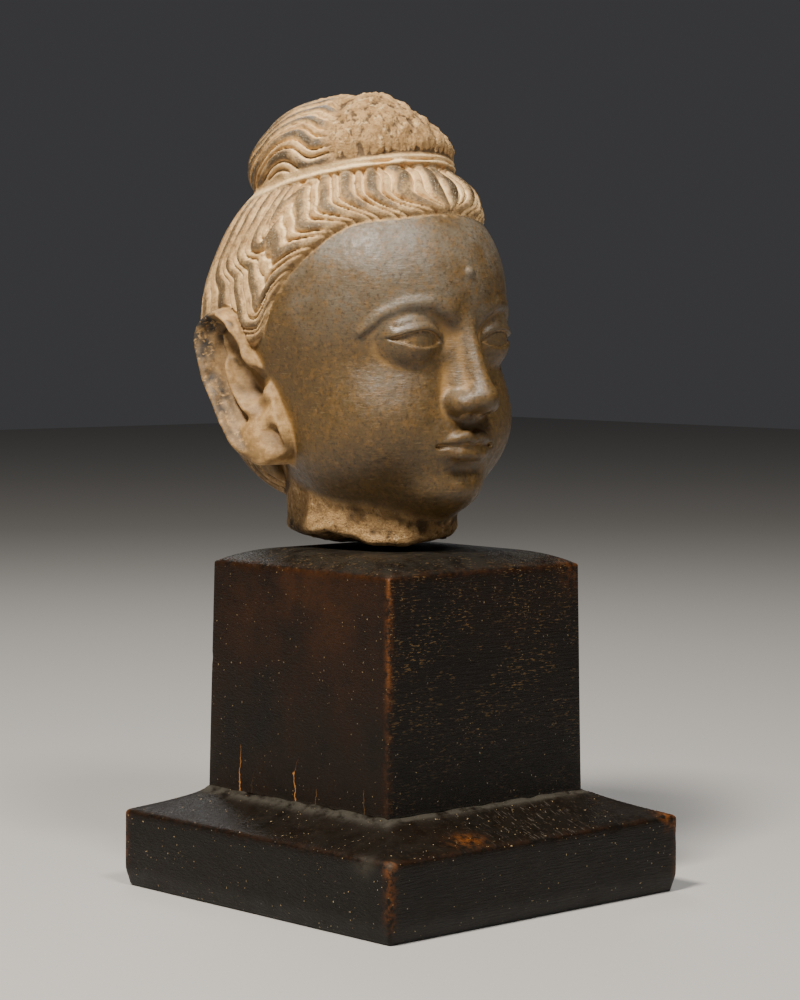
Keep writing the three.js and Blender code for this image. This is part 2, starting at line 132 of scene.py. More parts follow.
# %% [markdown]
# ## Distances and soft joins
# Each mass of the head is an ellipsoid or a rounded rod, written as a distance to its surface that is
# negative inside. The smaller of two distances joins two masses, and a soft minimum leaves a fillet of
# a chosen width between them, as a rasp and grit would.

# %% Distance functions
def ramp(value, start, end):
    """0 before start, 1 after end, and smooth between."""
    t = np.clip((value - start) / (end - start), 0, 1)
    return t * t * (3 - 2 * t)


def bump(value, width):
    """A smooth hill, 1 at zero and fading over a width."""
    return np.exp(-((value / width) ** 2))


def soft_min(a, b, width):
    """The smaller of two distances, with a fillet where they meet."""
    overlap = np.maximum(width - np.abs(a - b), 0) / width
    return np.minimum(a, b) - overlap * overlap * width * 0.25


def soft_max(a, b, width):
    """The larger of two distances, with a rounded edge where they meet."""
    return -soft_min(-a, -b, width)


def length(*parts):
    """How long a vector with these parts is."""
    return np.sqrt(sum(part * part for part in parts))


def ellipsoid(x, y, z, centre, radii):
    """Distance to an egg-shaped mass, close to true near its surface."""
    a, b, c = [(v - m) / r for v, m, r in zip((x, y, z), centre, radii)]
    scaled = length(a, b, c)
    slope = np.maximum(length(a / radii[0], b / radii[1], c / radii[2]), 1e-9)
    return scaled * (scaled - 1) / slope


def spot(x, y, z, place, reach):
    """A smooth round mark, 1 at a place and fading over its reach."""
    return bump(length(x - place[0], y - place[1], z - place[2]), reach)


def joined(x, y, z, first, *others):
    """Ellipsoids joined in turn: each is (centre, radii, width of its fillet), the first without a fillet."""
    d = ellipsoid(x, y, z, *first)
    for centre, radii, width in others:
        d = soft_min(d, ellipsoid(x, y, z, centre, radii), width)
    return d


def rods(x, y, z, points):
    """Distance to a chain of rounded rods; each point is (x, y, z, radius)."""
    nearest = np.full(np.shape(x), 1e6)
    for start, end in zip(points, points[1:]):
        dx, dy, dz, grow = [q - p for p, q in zip(start, end)]
        along = (x - start[0]) * dx + (y - start[1]) * dy + (z - start[2]) * dz
        t = np.clip(along / (dx * dx + dy * dy + dz * dz), 0, 1)
        gap = length(x - start[0] - t * dx, y - start[1] - t * dy, z - start[2] - t * dz)
        nearest = np.minimum(nearest, gap - start[3] - t * grow)
    return nearest


def lines(w, v, points):
    """Distance to a flat chain of lines; each point is (w, v)."""
    return rods(w, v, np.zeros(np.shape(w)), [(a, b, 0.0, 0.0) for a, b in points])


print("12 mm from the middle of a 10 mm ball:", ellipsoid(12.0, 0.0, 0.0, (0, 0, 0), (10, 10, 10)))

# %% [markdown]
# ## Roughness that repeats exactly
# Stone breaks and wears unevenly. Smooth noise is made here from a whole-number hash of a lattice, so
# the same point always gets the same value and nothing random is left loose.

# %% Noise
def lattice(i, j, k, seed):
    """A repeatable value from -1 to 1 at each whole-number lattice point."""
    h = (i * 374761393 + j * 668265263 + k * 2147483647 + seed * 974634777) & 0xFFFFFFFF
    h = ((h ^ (h >> 13)) * 1274126177) & 0xFFFFFFFF
    h = (h ^ (h >> 16)) & 0xFFFF
    return h / 32767.5 - 1.0


def noise(x, y, z, size, seed=0):
    """Smooth noise from -1 to 1 whose lumps are about size millimetres wide."""
    p = [v / size for v in (x, y, z)]
    base = [np.floor(v).astype(np.int64) for v in p]
    f = [v - b for v, b in zip(p, base)]
    f = [t * t * (3 - 2 * t) for t in f]
    total = 0.0
    for di in (0, 1):
        for dj in (0, 1):
            for dk in (0, 1):
                shares = [t if step else 1 - t for t, step in zip(f, (di, dj, dk))]
                weight = shares[0] * shares[1] * shares[2]
                total = total + weight * lattice(base[0] + di, base[1] + dj, base[2] + dk, seed)
    return total


def rough(x, y, z, size, octaves, seed=0):
    """Noise with finer noise added on top, each octave half the size and half the height."""
    total = sum(noise(x, y, z, size / 2**o, seed + o) / 2**o for o in range(octaves))
    return total / (2 - 2.0 ** (1 - octaves))


print("one value of 5 mm noise:", round(float(noise(1.0, 2.0, 3.0, 5)), 4))

# %% [markdown]
# ## The face
# The face is calm and even, on the proportions of a drawing book: the eye line halfway down the skull,
# a nose's width between the eyes, the mouth a third of the way from nose to chin. It is built from
# about thirty masses on one side and mirrored. It could be sculpted by hand with brushes instead, but
# named masses keep it smooth, even and easy to correct.

# %% Skull, jaw and neck
NECK_CENTRE = -2.0
NECK_SIZE = (33.5, 43.0)
NECK_TOP = 50


def skull_and_jaw(ax, y, z):
    """Skull, brow, jaw, chin and cheeks, from ax, the distance to the middle plane."""
    return joined(
        ax, y, z, ((0, 8, 102), (58, 71, 61.5)),
        ((0, -13, 116), (49.5, 50, 46.5), 10), ((0, -10, 64), (49, 50, 50), 12),
        ((0, -17, 46), (44, 42, 31), 10), ((0, -44, 29), (19, 18.5, 13), 12),
        ((22, -34, 58), (22, 24.5, 24), 12), ((0, -50, 48), (20, 15.5, 15), 8),
    )


def neck(d, ax, y, z):
    """Adds the neck, an upright oval column."""
    around = (length(ax / NECK_SIZE[0], (y - NECK_CENTRE) / NECK_SIZE[1]) - 1) * NECK_SIZE[0]
    return soft_min(d, soft_max(around, z - NECK_TOP, 6), 7)


print("20 mm over the crown, the skull is", round(float(skull_and_jaw(0.0, 8.0, 183.5)), 1), "mm away")

# %% Brows, nose, eyes and mouth
EYE_CENTRE = (21, -45.5, 92.5)
EYE_RADIUS = 14.6
EYE_INNER, EYE_OUTER = 10.8, 36.2


def brows(d, ax, y, z):
    """Hollows the eye sockets and lays an arched brow over each."""
    socket = ellipsoid(ax, y, z, (25, -67, 94.5), (18, 11.5, 9.5))
    ridge = rods(ax, y, z, [
        (4, -59.5, 99, 2.4), (10, -61, 104, 2.4), (19, -59.6, 108, 2.2),
        (29, -55, 107.6, 1.8), (37, -48.5, 103, 1.2), (43, -41, 95, 0.4),
    ])
    return soft_min(soft_max(d, -socket, 7), ridge, 3.5)


def nose(d, ax, y, z):
    """Adds a broad root, a narrow ridge, a tip and wings, and drills the nostrils."""
    d = soft_min(d, rods(ax, y, z, [(0, -56, 100, 5.5), (0, -61, 68, 10.5)]), 4)
    d = soft_min(d, rods(ax, y, z, [(0, -61.5, 100, 2.8), (0, -72.5, 69, 5)]), 4)
    d = soft_min(d, ellipsoid(ax, y, z, (0, -71.8, 67), (7.2, 7.2, 5.8)), 4)
    d = soft_min(d, ellipsoid(ax, y, z, (8.0, -65.5, 65), (4.4, 7.8, 4.8)), 3.2)
    return soft_max(d, -ellipsoid(ax, y, z, (4.8, -68.5, 59.6), (2.2, 3.8, 2.4)), 1.6)


def eye(d, ax, y, z):
    """An upper and a lower lid, shells round the eyeball, cut along two arcs."""
    ball = length(ax - EYE_CENTRE[0], y - EYE_CENTRE[1], z - EYE_CENTRE[2])
    across = np.clip((ax - EYE_INNER) / (EYE_OUTER - EYE_INNER), 0, 1)
    corner = 90.6 + 2.2 * across
    upper_edge = corner + 4.9 * np.sin(np.pi * across**0.82)
    lower_edge = corner - 2.8 * np.sin(np.pi * across**1.15)
    upper = soft_max(ball - EYE_RADIUS - 1.7, upper_edge - z, 0.9)
    lower = soft_max(ball - EYE_RADIUS - 1.2, z - lower_edge, 0.9)
    crease = length(ball - EYE_RADIUS - 1.9, (z - upper_edge - 3.6) * 0.8) - 0.5
    d = soft_min(d, soft_min(upper, lower, 0.5), 2.2)
    d = soft_max(d, -np.where((across > 0.06) & (across < 0.94), crease, 9.0), 0.9)
    return np.minimum(d, ball - EYE_RADIUS)


def mouth(d, ax, y, z):
    """Adds two lips, parts them, and sinks the groove over them and the dip below."""
    upper = rods(ax, y, z, [
        (0, -65.8, 49.6, 2.6), (3.4, -66.2, 50.9, 2.7), (8, -64.6, 49.9, 2.5),
        (13, -61.4, 48, 1.8), (17.4, -57.6, 47, 0.8),
    ])
    lower = rods(ax, y, z, [
        (0, -64.4, 43.2, 3.7), (6, -63.8, 43.4, 3.6), (11, -61.2, 44.6, 2.6), (16, -57.8, 46, 1.1),
    ])
    parting = rods(ax, y, z, [
        (0, -69.8, 46.9, 0.9), (5, -69.2, 47.3, 0.9), (10, -66, 46.9, 0.9),
        (15, -61.6, 46.6, 1.1), (18.8, -58.2, 47.2, 0.9),
    ])
    d = soft_min(soft_min(d, upper, 1.4), lower, 1.6)
    d = soft_max(d, -parting, 1)
    d = soft_max(d, -rods(ax, y, z, [(0, -69.2, 59, 1.4), (0, -70.6, 54, 1.9)]), 1.8)
    return soft_max(d, -ellipsoid(ax, y, z, (0, -66, 35.6), (14, 4.6, 3.4)), 5)


BROW_MARK, MARK_RADIUS = (0.0, -62.2, 121.0), 3.2


def face_surface(x, y, z):
    """The whole face and neck, with the small round mark between the brows."""
    ax = np.abs(x)
    d = neck(skull_and_jaw(ax, y, z), ax, y, z)
    d = mouth(eye(nose(brows(d, ax, y, z), ax, y, z), ax, y, z), ax, y, z)
    mark = length(x - BROW_MARK[0], y - BROW_MARK[1], z - BROW_MARK[2]) - MARK_RADIUS
    return soft_min(d, mark, 0.5)


print("face at the tip of the nose:", face_surface(*np.array([[0.0], [-79.0], [67.0]])), "mm")

# %% [markdown]
# ## The ears
# The long ears lie on a plane that leans back and flares out. A point is read in that plane, w back
# across the ear and v up from the lobe, and the ear's height there is a plane with ridges and hollows
# added: the rolled rim, the groove inside it, the inner ridge, the bowl, the tragus and the lobe.

# %% Ears
EAR_FOOT = (1.5, 38.0)
EAR_LEAN = math.radians(23.4)
EAR_REACH, EAR_FLARE = 59.0, 0.18
EAR_OUTLINE = [
    (4.5, 60, 0, 14), (5.5, 47, 0, 14.5), (3.5, 28, 0, 14.5), (2.5, 15, 0, 12.5), (1.5, 11, 0, 10.5),
]
EAR_RIDGES = [  # path, width, rise
    ([(4, 62), (5.5, 50), (7.5, 40), (6, 30), (1, 24)], 2.3, 3.2),
    ([(-3, 68), (-8, 58), (-9, 50)], 2.8, 3.2),
    ([(-9, 46), (-9.5, 43)], 3.6, 4.4),
    ([(4, 16), (2.5, 8)], 6.0, 2.0),
]
EAR_HOLLOWS = [  # path, width, sink
    ([(4, 65), (9, 58), (11, 48), (10.5, 36), (7, 24)], 2.6, 3.8),
    ([(6.5, 60), (7, 54)], 3.0, 2.6),
    ([(-1, 53), (-1.5, 34)], 5.0, 7.5),
    ([(-8, 39), (-7.5, 36)], 3.0, 5.5),
    ([(-6, 25), (0, 24)], 3.0, 2.4),
    ([(-5.5, 13), (-6, 2)], 2.6, 4.6),
]


def ear_plane(y, z):
    """Where a point lies on the ear's plane: back across it, and up it."""
    dy, dz = y - EAR_FOOT[0], z - EAR_FOOT[1]
    return (math.cos(EAR_LEAN) * dy - math.sin(EAR_LEAN) * dz,
            math.sin(EAR_LEAN) * dy + math.cos(EAR_LEAN) * dz)


def off_ear(w, v):
    """Distance to the ear's outline in its plane, negative inside."""
    return rods(w, v, np.zeros(np.shape(w)), EAR_OUTLINE)


def ear_surface(ax, y, z):
    """An ear as a slab with a modelled face."""
    w, v = ear_plane(y, z)
    outline = off_ear(w, v)
    rim_fade = ramp(v, 4, 16) * ramp(w + 0.35 * v, -2, 14)
    height = EAR_REACH + EAR_FLARE * w + 0.06 * np.maximum(v - 35, 0) - 1.6
    height = height + 5.2 * rim_fade * bump(outline + 2.6, 2.3)
    for path, width, rise in EAR_RIDGES:
        height = height + rise * bump(lines(w, v, path), width)
    for path, width, sink in EAR_HOLLOWS:
        height = height - sink * bump(lines(w, v, path), width)
    return soft_max(outline, ax - height, 2.4)


print("ears:", len(EAR_RIDGES), "ridges and", len(EAR_HOLLOWS), "hollows on each")

# %% [markdown]
# ## The combed hair
# Hair on heads of this school is cut as long locks. Each leaves the hairline almost along it, turns
# sharply up, and folds back once on its way to the tied top-knot, most of all at the sides. Each lock
# is a broad strand and a thin one. They could be drawn as curves and swept, but hundreds of them would
# have to meet. Here the pattern is worked out backwards: for any point, how far in it lies from the
# hairline and which lock it is on.

# %% Hairline and sweep
HAIRLINE = [
    (0, 52.5), (23, 53.5), (46, 54.5), (66, 66), (78, 79.5), (87, 97), (110, 107), (140, 118), (180, 130),
]
SKULL_CENTRE = (0.0, 10.0, 100.0)
SKULL_RADIUS = 68.0
LOCK_ANGLES = (0, 28, 50, 105, 180)
LOCKS_BEFORE = (0, 1.8, 3.6, 9.2, 13.0)
# How far in a lock turns up, how far it sweeps before that, how long it rises and how far it leans
# forward there, how long it folds back and how far, and how far it springs forward again.
FRONT_LOCK = (10, 22, 8, 3, 6, 5, 0)
SIDE_LOCK = (18, 24, 17, -5, 14, 13, 6)
SPRING_LENGTH = 16
PER_DEGREE = SKULL_RADIUS * math.pi / 180


def curve_through(pairs):
    """A smooth curve through (angle, value) pairs, level at both ends."""
    angles, values = (np.array(v, float) for v in zip(*pairs))
    slopes = np.zeros(len(pairs))
    slopes[1:-1] = (values[2:] - values[:-2]) / (angles[2:] - angles[:-2])

    def read(angle):
        """The curve's value at an angle."""
        i = np.clip(np.searchsorted(angles, angle) - 1, 0, len(pairs) - 2)
        span = angles[i + 1] - angles[i]
        t = np.clip((angle - angles[i]) / span, 0, 1)
        rise = t * t * (3 - 2 * t)
        bow = t * (1 - t) * (slopes[i] * (1 - t) - slopes[i + 1] * t)
        return values[i] + (values[i + 1] - values[i]) * rise + span * bow

    return read


hairline_at = curve_through(HAIRLINE)


def hair_place(x, y, z):
    """Angle round from the front, and millimetres in from the hairline."""
    dy, dz = y - SKULL_CENTRE[1], z - SKULL_CENTRE[2]
    angle = np.degrees(np.arctan2(np.abs(x), -dy))
    down = np.degrees(np.arccos(np.clip(dz / np.maximum(length(x, dy, dz), 1e-6), -1, 1)))
    return angle, (hairline_at(angle) - down) * PER_DEGREE


def eased(share):
    """0 to 1, with a soft start and a soft end."""
    return (1 - np.cos(np.clip(share, 0, 1) * np.pi)) / 2


def lock_number(angle, inward):
    """Which lock a point lies on, as a number that grows by one from lock to lock."""
    side = ramp(angle, 18, 75)
    turn, sweep, rising, lean, folding, fold, spring = [
        front + (at_side - front) * side for front, at_side in zip(FRONT_LOCK, SIDE_LOCK)
    ]
    sweep = sweep / PER_DEGREE
    calm = 1 - 0.85 * ramp(angle, 100, 180)
    share = 1 - np.sin(np.clip(inward / turn, 0, 1) * np.pi / 2)
    by_parting = angle / (1 - 0.94 * share)
    swept = np.where(by_parting * 0.94 < sweep, by_parting, angle + sweep * share * calm)
    up = inward - turn
    forward = lean * eased(up / rising) - fold * eased((up - rising) / folding)
    forward = forward + spring * eased((up - rising - folding) / SPRING_LENGTH)
    combed = angle + forward / PER_DEGREE * calm
    return np.interp(np.where(inward < turn, swept, combed), LOCK_ANGLES, LOCKS_BEFORE)


def strand(across, start, end, flat=2.6):
    """A rounded strand over part of a lock, 0 at its edges and 1 along its top."""
    t = np.clip((across - start) / (end - start), 0, 1)
    return np.sqrt(np.clip(1 - np.abs(2 * t - 1) ** flat, 0, 1))


def strand_pair(number, broad, thin, thin_height):
    """Depth of the cuts beside a broad and a thin strand in each lock, and where the broad ones crest."""
    across = number - np.floor(number)
    top = strand(across, *broad)
    return 1 - np.maximum(top, thin_height * strand(across, *thin)), ramp(top, 0.80, 0.97)


print("combed hair:", LOCKS_BEFORE[-1], "locks on each side of the parting")

# %% Hair masses
TIE = dict(centre=11.0, half_width=42.0, half_depth=47.0, height=160.0, slope=0.215, cord=1.0)


def height_over_tie(y, z):
    """Height over the sloping plane that the top-knot's cord lies in."""
    return z - TIE["height"] + TIE["slope"] * (y - TIE["centre"])


def hair_mass(x, y, z):
    """The full body of the hair round the skull."""
    return joined(
        np.abs(x), y, z, ((0, 10, 100), (62, 78, 66)), ((0, 2.4, 128), (57, 64, 46), 12),
        ((0, -7, 130), (49, 55, 42.5), 8), ((0, 28, 70), (50, 52, 55), 12),
    )


def combed_hair(x, y, z):
    """The cap of combed hair with a rounded edge along the hairline, before its locks are cut."""
    angle, inward = hair_place(x, y, z)
    thinning = (4.5 - 2.5 * ramp(angle, 30, 80)) * (1 - ramp(inward, -2, 13))
    w, v = ear_plane(y, z)
    round_ear = np.where(np.abs(x) > 30, 0.8 - off_ear(w, v), -9)
    return soft_max(soft_max(hair_mass(x, y, z) + thinning, -inward, 3), round_ear, 1.5)


def nape_hair(x, y, z):
    """Short hair that runs down behind the ears to the neck."""
    behind_ears = 24 + 0.3 * np.maximum(z - 40, 0) - y
    return soft_max(hair_mass(x, y, z) + 2, behind_ears, 4)


print("the cord lies", TIE["height"], "mm up and drops", TIE["slope"], "mm for each mm back")

# %% How deep the locks are cut
LOCK_DEPTH, BUN_DEPTH, NAPE_DEPTH = 3.5, 3.2, 1.5


def locks_relief(x, y, z):
    """Depth of the cuts in the combed hair, 0 to 1 in a groove, and where broad strands crest."""
    angle, inward = hair_place(x, y, z)
    number = lock_number(angle, inward) + 0.05 * noise(x, y, z, 11, 3)
    return strand_pair(number, (0.0, 0.63, 2.4), (0.66, 0.97, 2.2), 0.82)


def nape_relief(x, y, z):
    """Depth of the cuts in the short hair of the nape, 0 to 1."""
    angle, inward = hair_place(x, y, z)
    number = (angle + 4 * np.sin(inward / 5.5)) / 8.0
    across = number - np.floor(number)
    return 1 - strand(across, 0, 1)


print("cuts are up to", LOCK_DEPTH, "mm deep over the head and", NAPE_DEPTH, "mm at the nape")

# %% [markdown]
# ## The top-knot
# The hair is gathered up and tied with a thin double cord. Over the cord the knot's locks wrap round
# it in waves. Its front has crumbled away, and only the rough inside of the stone is left there.

# %% Top-knot
BUN_CENTRE = (0.0, 12.0, 171.0)
BUN_SIZE = (45.5, 48.5, 28.5)
BUN_TILT = math.radians(11)
BUN_SLOPE = (0.73, -0.684)
BUN_PEAK = (3.0, -2.0, 198.0)
BUN_LOCK = 8.8
BUN_RADIUS = 45.0


def bun_place(x, y, z):
    """Angle round from the front, and millimetres up over the cord along the knot's surface."""
    dy = y - TIE["centre"]
    angle = np.degrees(np.arctan2(x, -dy))
    rise = np.degrees(np.arctan2(height_over_tie(y, z), length(x, dy)))
    return angle, rise * BUN_RADIUS * math.pi / 180


def bun_broken(x, y, z):
    """1 where the front of the knot has crumbled, 0 where its carving is whole."""
    angle, up = bun_place(x, y, z)
    edge = 8 * noise(x, y, z, 13, 41)
    near = -52 - 0.35 * up
    side = ramp(angle + edge, near, near + 9) * (1 - ramp(angle + edge, 66, 80))
    crest = ramp(up + edge, 43, 52)
    return np.maximum(side, crest * (1 - ramp(np.abs(angle), 120, 150)) * 0.9)


def bun_relief(x, y, z):
    """Depth of the cuts in the top-knot, 0 to 1, and where its broad strands crest."""
    angle, up = bun_place(x, y, z)
    back = np.abs(angle)
    behind = back - (93 - 0.55 * up)
    falling = 0.5 * (length(np.maximum(behind, 0), 8) - 8)
    dipping = 4 * (1 - np.cos(np.clip(-behind / 25, 0, 1) * np.pi)) - 0.06 * np.maximum(-behind - 25, 0)
    number = (up + falling + dipping) / BUN_LOCK + 0.05 * noise(x, y, z, 9, 7)
    return strand_pair(number, (0.0, 0.6), (0.63, 0.98), 0.85)


def bun_surface(x, y, z):
    """The top-knot, lumpy, with a peak and a worn slope on top."""
    dx, dy, dz = x - BUN_CENTRE[0], y - BUN_CENTRE[1], z - BUN_CENTRE[2]
    back = math.cos(BUN_TILT) * dy - math.sin(BUN_TILT) * dz
    up = math.sin(BUN_TILT) * dy + math.cos(BUN_TILT) * dz
    mass = ellipsoid(dx, back, up, (0, 0, 0), BUN_SIZE) + 1.3 * noise(x, y, z, 15, 91) * ramp(z, 165, 180)
    mass = mass - 4.0 * spot(x, y, z, BUN_PEAK, 7)
    towards = x * BUN_SLOPE[0] + y * BUN_SLOPE[1]
    return soft_max(mass, (z - 198.5 + 0.74 * (towards - 12)) * 0.8, 5)


def cords(x, y, z):
    """The double cord, which sinks into the hair towards the back."""
    ring = (length(x / TIE["half_width"], (y - TIE["centre"]) / TIE["half_depth"]) - 1) * TIE["half_width"]
    over = height_over_tie(y, z)
    angle, _ = bun_place(x, y, z)
    sunk = 0.3 + 2.2 * ramp(np.abs(angle), 88, 112) + 0.45 * noise(x, y, z, 7, 19)
    return np.minimum(length(ring, over - 1.5), length(ring - 0.6, over + 0.9)) - TIE["cord"] + sunk


print("the knot is", 2 * BUN_SIZE[0], "mm wide and", 2 * BUN_SIZE[1], "mm long")

# %% [markdown]
# ## The broken neck
# The head was snapped off a larger figure. The break is ragged: it arches on the right, so that only
# the front and the back of the neck touch the block, and its outer edge is knocked off all round.

# %% Neck break
def underside(x, y):
    """Height of the broken underside over the lowest point of the stone."""
    angle = np.degrees(np.arctan2(x, NECK_CENTRE - y))
    out = length(x / NECK_SIZE[0], (y - NECK_CENTRE) / NECK_SIZE[1])
    arch = 6.0 * bump(angle + 78, 30) * ramp(out, 0.3, 0.9)
    knocked = (7 * bump(angle - 50, 50) + 5 * bump(angle + 135, 34)) * ramp(out, 0.5, 1.05)
    return arch + knocked + 1.2 + 1.2 * rough(x, y, 0 * x, 14, 3, 23)


def stone_mass(x, y, z):
    """The whole head before its hair is cut into locks."""
    skin = soft_min(face_surface(x, y, z), ear_surface(np.abs(x), y, z), 1.6)
    skin = soft_min(skin, nape_hair(x, y, z), 1.5)
    skin = soft_min(skin, combed_hair(x, y, z), 0.8)
    skin = soft_min(skin, soft_min(bun_surface(x, y, z), cords(x, y, z), 0.8), 1.5)
    return soft_max(skin, underside(x, y) - z, 4)


print("the middle of the break is", round(float(underside(0.0, 0.0)), 1), "mm over the block")

# %% Copy the solid and rough it out
COARSE_GRAIN, FINE_GRAIN = 1.3, 0.62
SAME_PLACE = 0.01


def copy_of_node(node, name):
    """A welded copy of a solid, free to be reshaped."""
    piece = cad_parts[node].copy()
    piece.data = piece.data.copy()
    piece.name = name
    bpy.context.scene.collection.objects.link(piece)
    piece.parent = None
    only(piece)
    bpy.ops.object.mode_set(mode="EDIT")
    bpy.ops.mesh.select_all(action="SELECT")
    bpy.ops.mesh.remove_doubles(threshold=SAME_PLACE * MM)
    bpy.ops.mesh.normals_make_consistent(inside=False)
    bpy.ops.object.mode_set(mode="OBJECT")
    return piece


def carve(piece, surface, passes, reach=1.6):
    """Moves each point along its normal until it lies on a surface."""
    for _ in range(passes):
        points = points_of(piece)
        local = points - SEAT
        gap = surface(local[:, 0], local[:, 1], local[:, 2])
        set_points(piece, points - normals_of(piece) * np.clip(gap, -reach, reach)[:, None] * 0.9)


stone = copy_of_node("head", "buddha_head_stone")
for _ in range(2):
    apply_modifier(stone, "REMESH", mode="VOXEL", voxel_size=COARSE_GRAIN * MM)
    carve(stone, stone_mass, 3)
apply_modifier(stone, "REMESH", mode="VOXEL", voxel_size=FINE_GRAIN * MM)
carve(stone, stone_mass, 2, 0.8)
print("stone roughed out:", len(stone.data.vertices), "points")

# %% Which part of the stone a point belongs to, and how deep it is cut
def carving(x, y, z):
    """Masks from 0 to 1 for the kinds of surface, and the depth in millimetres to cut there."""
    angle, inward = hair_place(x, y, z)
    over_tie = height_over_tie(y, z)
    clear_of_ear = ramp(ear_surface(np.abs(x), y, z), 0.2, 1.2)
    comb = ramp(combed_hair(x, y, z), 1.2, 0.2) * (1 - ramp(over_tie, -2.8, -1.4)) * clear_of_ear
    bun = ramp(bun_surface(x, y, z), 1.2, 0.2) * ramp(over_tie, 2.2, 4.0)
    nape = ramp(nape_hair(x, y, z), 1.2, 0.2) * (1 - comb) * clear_of_ear * ramp(y, 24, 30) * ramp(z, 10, 20)
    nape = nape * (1 - ramp(over_tie, -2.8, -1.4))
    broken = bun_broken(x, y, z) * bun
    comb_cut, comb_crest = locks_relief(x, y, z)
    bun_cut, bun_crest = bun_relief(x, y, z)
    nape_cut = nape_relief(x, y, z)
    less_at_side = 0.25 * ramp(angle, 30, 60)
    less_at_back = 0.15 * ramp(angle, 100, 160)
    fade = (0.3 + 0.7 * ramp(inward, 0.5, 7)) * (1 - less_at_side - less_at_back)
    cut = LOCK_DEPTH * fade * comb_cut * comb
    cut = cut + BUN_DEPTH * bun_cut * bun * (1 - broken) + NAPE_DEPTH * nape_cut * nape
    worn = rough(x * 1.8, y * 1.8, z * 0.5, 7.0, 4, 17)
    cut = cut + broken * (0.9 + 1.6 * rough(x, y, z, 13, 3, 11) + 2.3 * worn)
    ragged = z + 7 * noise(x, y, z, 16, 33)
    clear_of_jaw = ramp(skull_and_jaw(np.abs(x), y, z), 0.6, 3.0)
    break_zone = np.maximum(ramp(ragged, 15, 9), ramp(z, 34, 26) * clear_of_jaw) * ramp(y, 42, 30)
    cut = cut + ramp(z, 24, 10) * break_zone * (0.5 + 1.3 * rough(x, y, z, 8, 3, 29))
    hair = np.maximum(np.maximum(comb, bun), np.maximum(nape, ramp(over_tie, -3, -1) * (z > 140)))
    groove = np.maximum(comb_cut * comb * fade, np.maximum(bun_cut * bun * (1 - broken), nape_cut * nape))
    groove = np.maximum(groove, 0.6 * bump(over_tie, 3.2) * (z > 140))
    ear = ramp(ear_surface(np.abs(x), y, z), 1.0, -0.5) * (1 - hair)
    w, v = ear_plane(y, z)
    sunk = sum(sink / 5 * bump(lines(w, v, path), width) for path, width, sink in EAR_HOLLOWS)
    crest = np.maximum(comb_crest * comb * fade, bun_crest * bun * (1 - broken))
    broken = np.maximum(broken, break_zone)
    masks = dict(hair=hair, groove=groove, crest=crest, broken=broken, ear=ear, nape=nape)
    # The ear's hollows are painted dark: partly painted shade, partly dirt.
    masks["ear_shade_and_dirt"] = ear * np.clip(sunk, 0, 1)
    return masks, cut


print("kinds of surface:", ", ".join(carving(*np.zeros((3, 1)))[0]))

# %% Cut the locks and the breaks
MOST_TRIANGLES = 192000
_, cut = carving(*(points_of(stone) - SEAT).T)
set_points(stone, points_of(stone) - normals_of(stone) * cut[:, None])
print("locks cut, deepest", round(float(cut.max()), 2), "mm")
apply_modifier(stone, "DECIMATE", ratio=min(1.0, MOST_TRIANGLES / triangles(stone)))
print("stone:", triangles(stone), "triangles")

# %% [markdown]
# ## Where dirt, deposit, wear and painted shade lie
# A pale lime deposit fills the hollows, and handling keeps the high places dark. The deepest pits of the
# breaks are painted dark as shade, and the ear's hollows as shade and dirt. The hollows are found from
# the mesh itself: a point that lies lower than the average of its neighbours is in a hollow.

# %% Hollows and marks
def hollows(piece, spread):
    """How hollow the surface is at each point, in millimetres, averaged over neighbouring points."""
    points, normals = points_of(piece), normals_of(piece)
    edges = np.empty(len(piece.data.edges) * 2, np.int32)
    piece.data.edges.foreach_get("vertices", edges)
    a, b = edges.reshape(-1, 2).T
    count = np.bincount(a, minlength=len(points)) + np.bincount(b, minlength=len(points))

    def averaged(values):
        """The mean of a value over the neighbours of each point."""
        total = np.bincount(a, values[b], len(points)) + np.bincount(b, values[a], len(points))
        return total / np.maximum(count, 1)

    smooth = points.copy()
    for _ in range(spread):
        smooth = np.stack([averaged(column) for column in smooth.T], axis=1)
    return ((smooth - points) * normals).sum(axis=1)


x, y, z = (points_of(stone) - SEAT).T
masks, _ = carving(x, y, z)
for name, values in masks.items():
    paint(stone, name, values)
hollow = hollows(stone, 9)
paint(stone, "hollow", 0.5 + hollow / 1.6)
CHARRED = [  # x, y, z, reach: places where the stone is knocked and nearly black
    (-62, 42, 97, 7), (-64, 43, 87, 6), (-63, 37, 74, 4), (-58, 31, 92, 4), (-60, 36, 103, 6),
    (-27, 22, 6, 8), (-31, 12, 4, 6), (-44, 44, 160, 5),
]
charred = sum(spot(x, y, z, place, reach) for *place, reach in CHARRED)
w, v = ear_plane(y, z)
rim = off_ear(w, v)
charred = charred + 0.85 * masks["ear"] * ramp(rim, -8.0, -6.0) * ramp(w, 2, 6) * ramp(v, 0, 12)
paint(stone, "charred", charred * (0.75 + 0.5 * noise(x, y, z, 3, 61)))
paint(stone, "brow", ramp(z, 82, 118))
smooth_faces(stone)
print("hollows from", round(float(hollow.min()), 2), "to", round(float(hollow.max()), 2), "mm")
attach(stone, "root")
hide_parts("head")

# %% [markdown]
# ## The wooden block
# The block is one piece of close-grained hardwood, planed a little narrower at the top. Its top is a
# very low hipped roof with a flat middle. It starts here as a cube that is tapered and bevelled in edit
# mode, then its long edges are divided so that there are enough points to wear the arrises.

# %% Edit-mode helpers
ARRIS_STEPS = 4


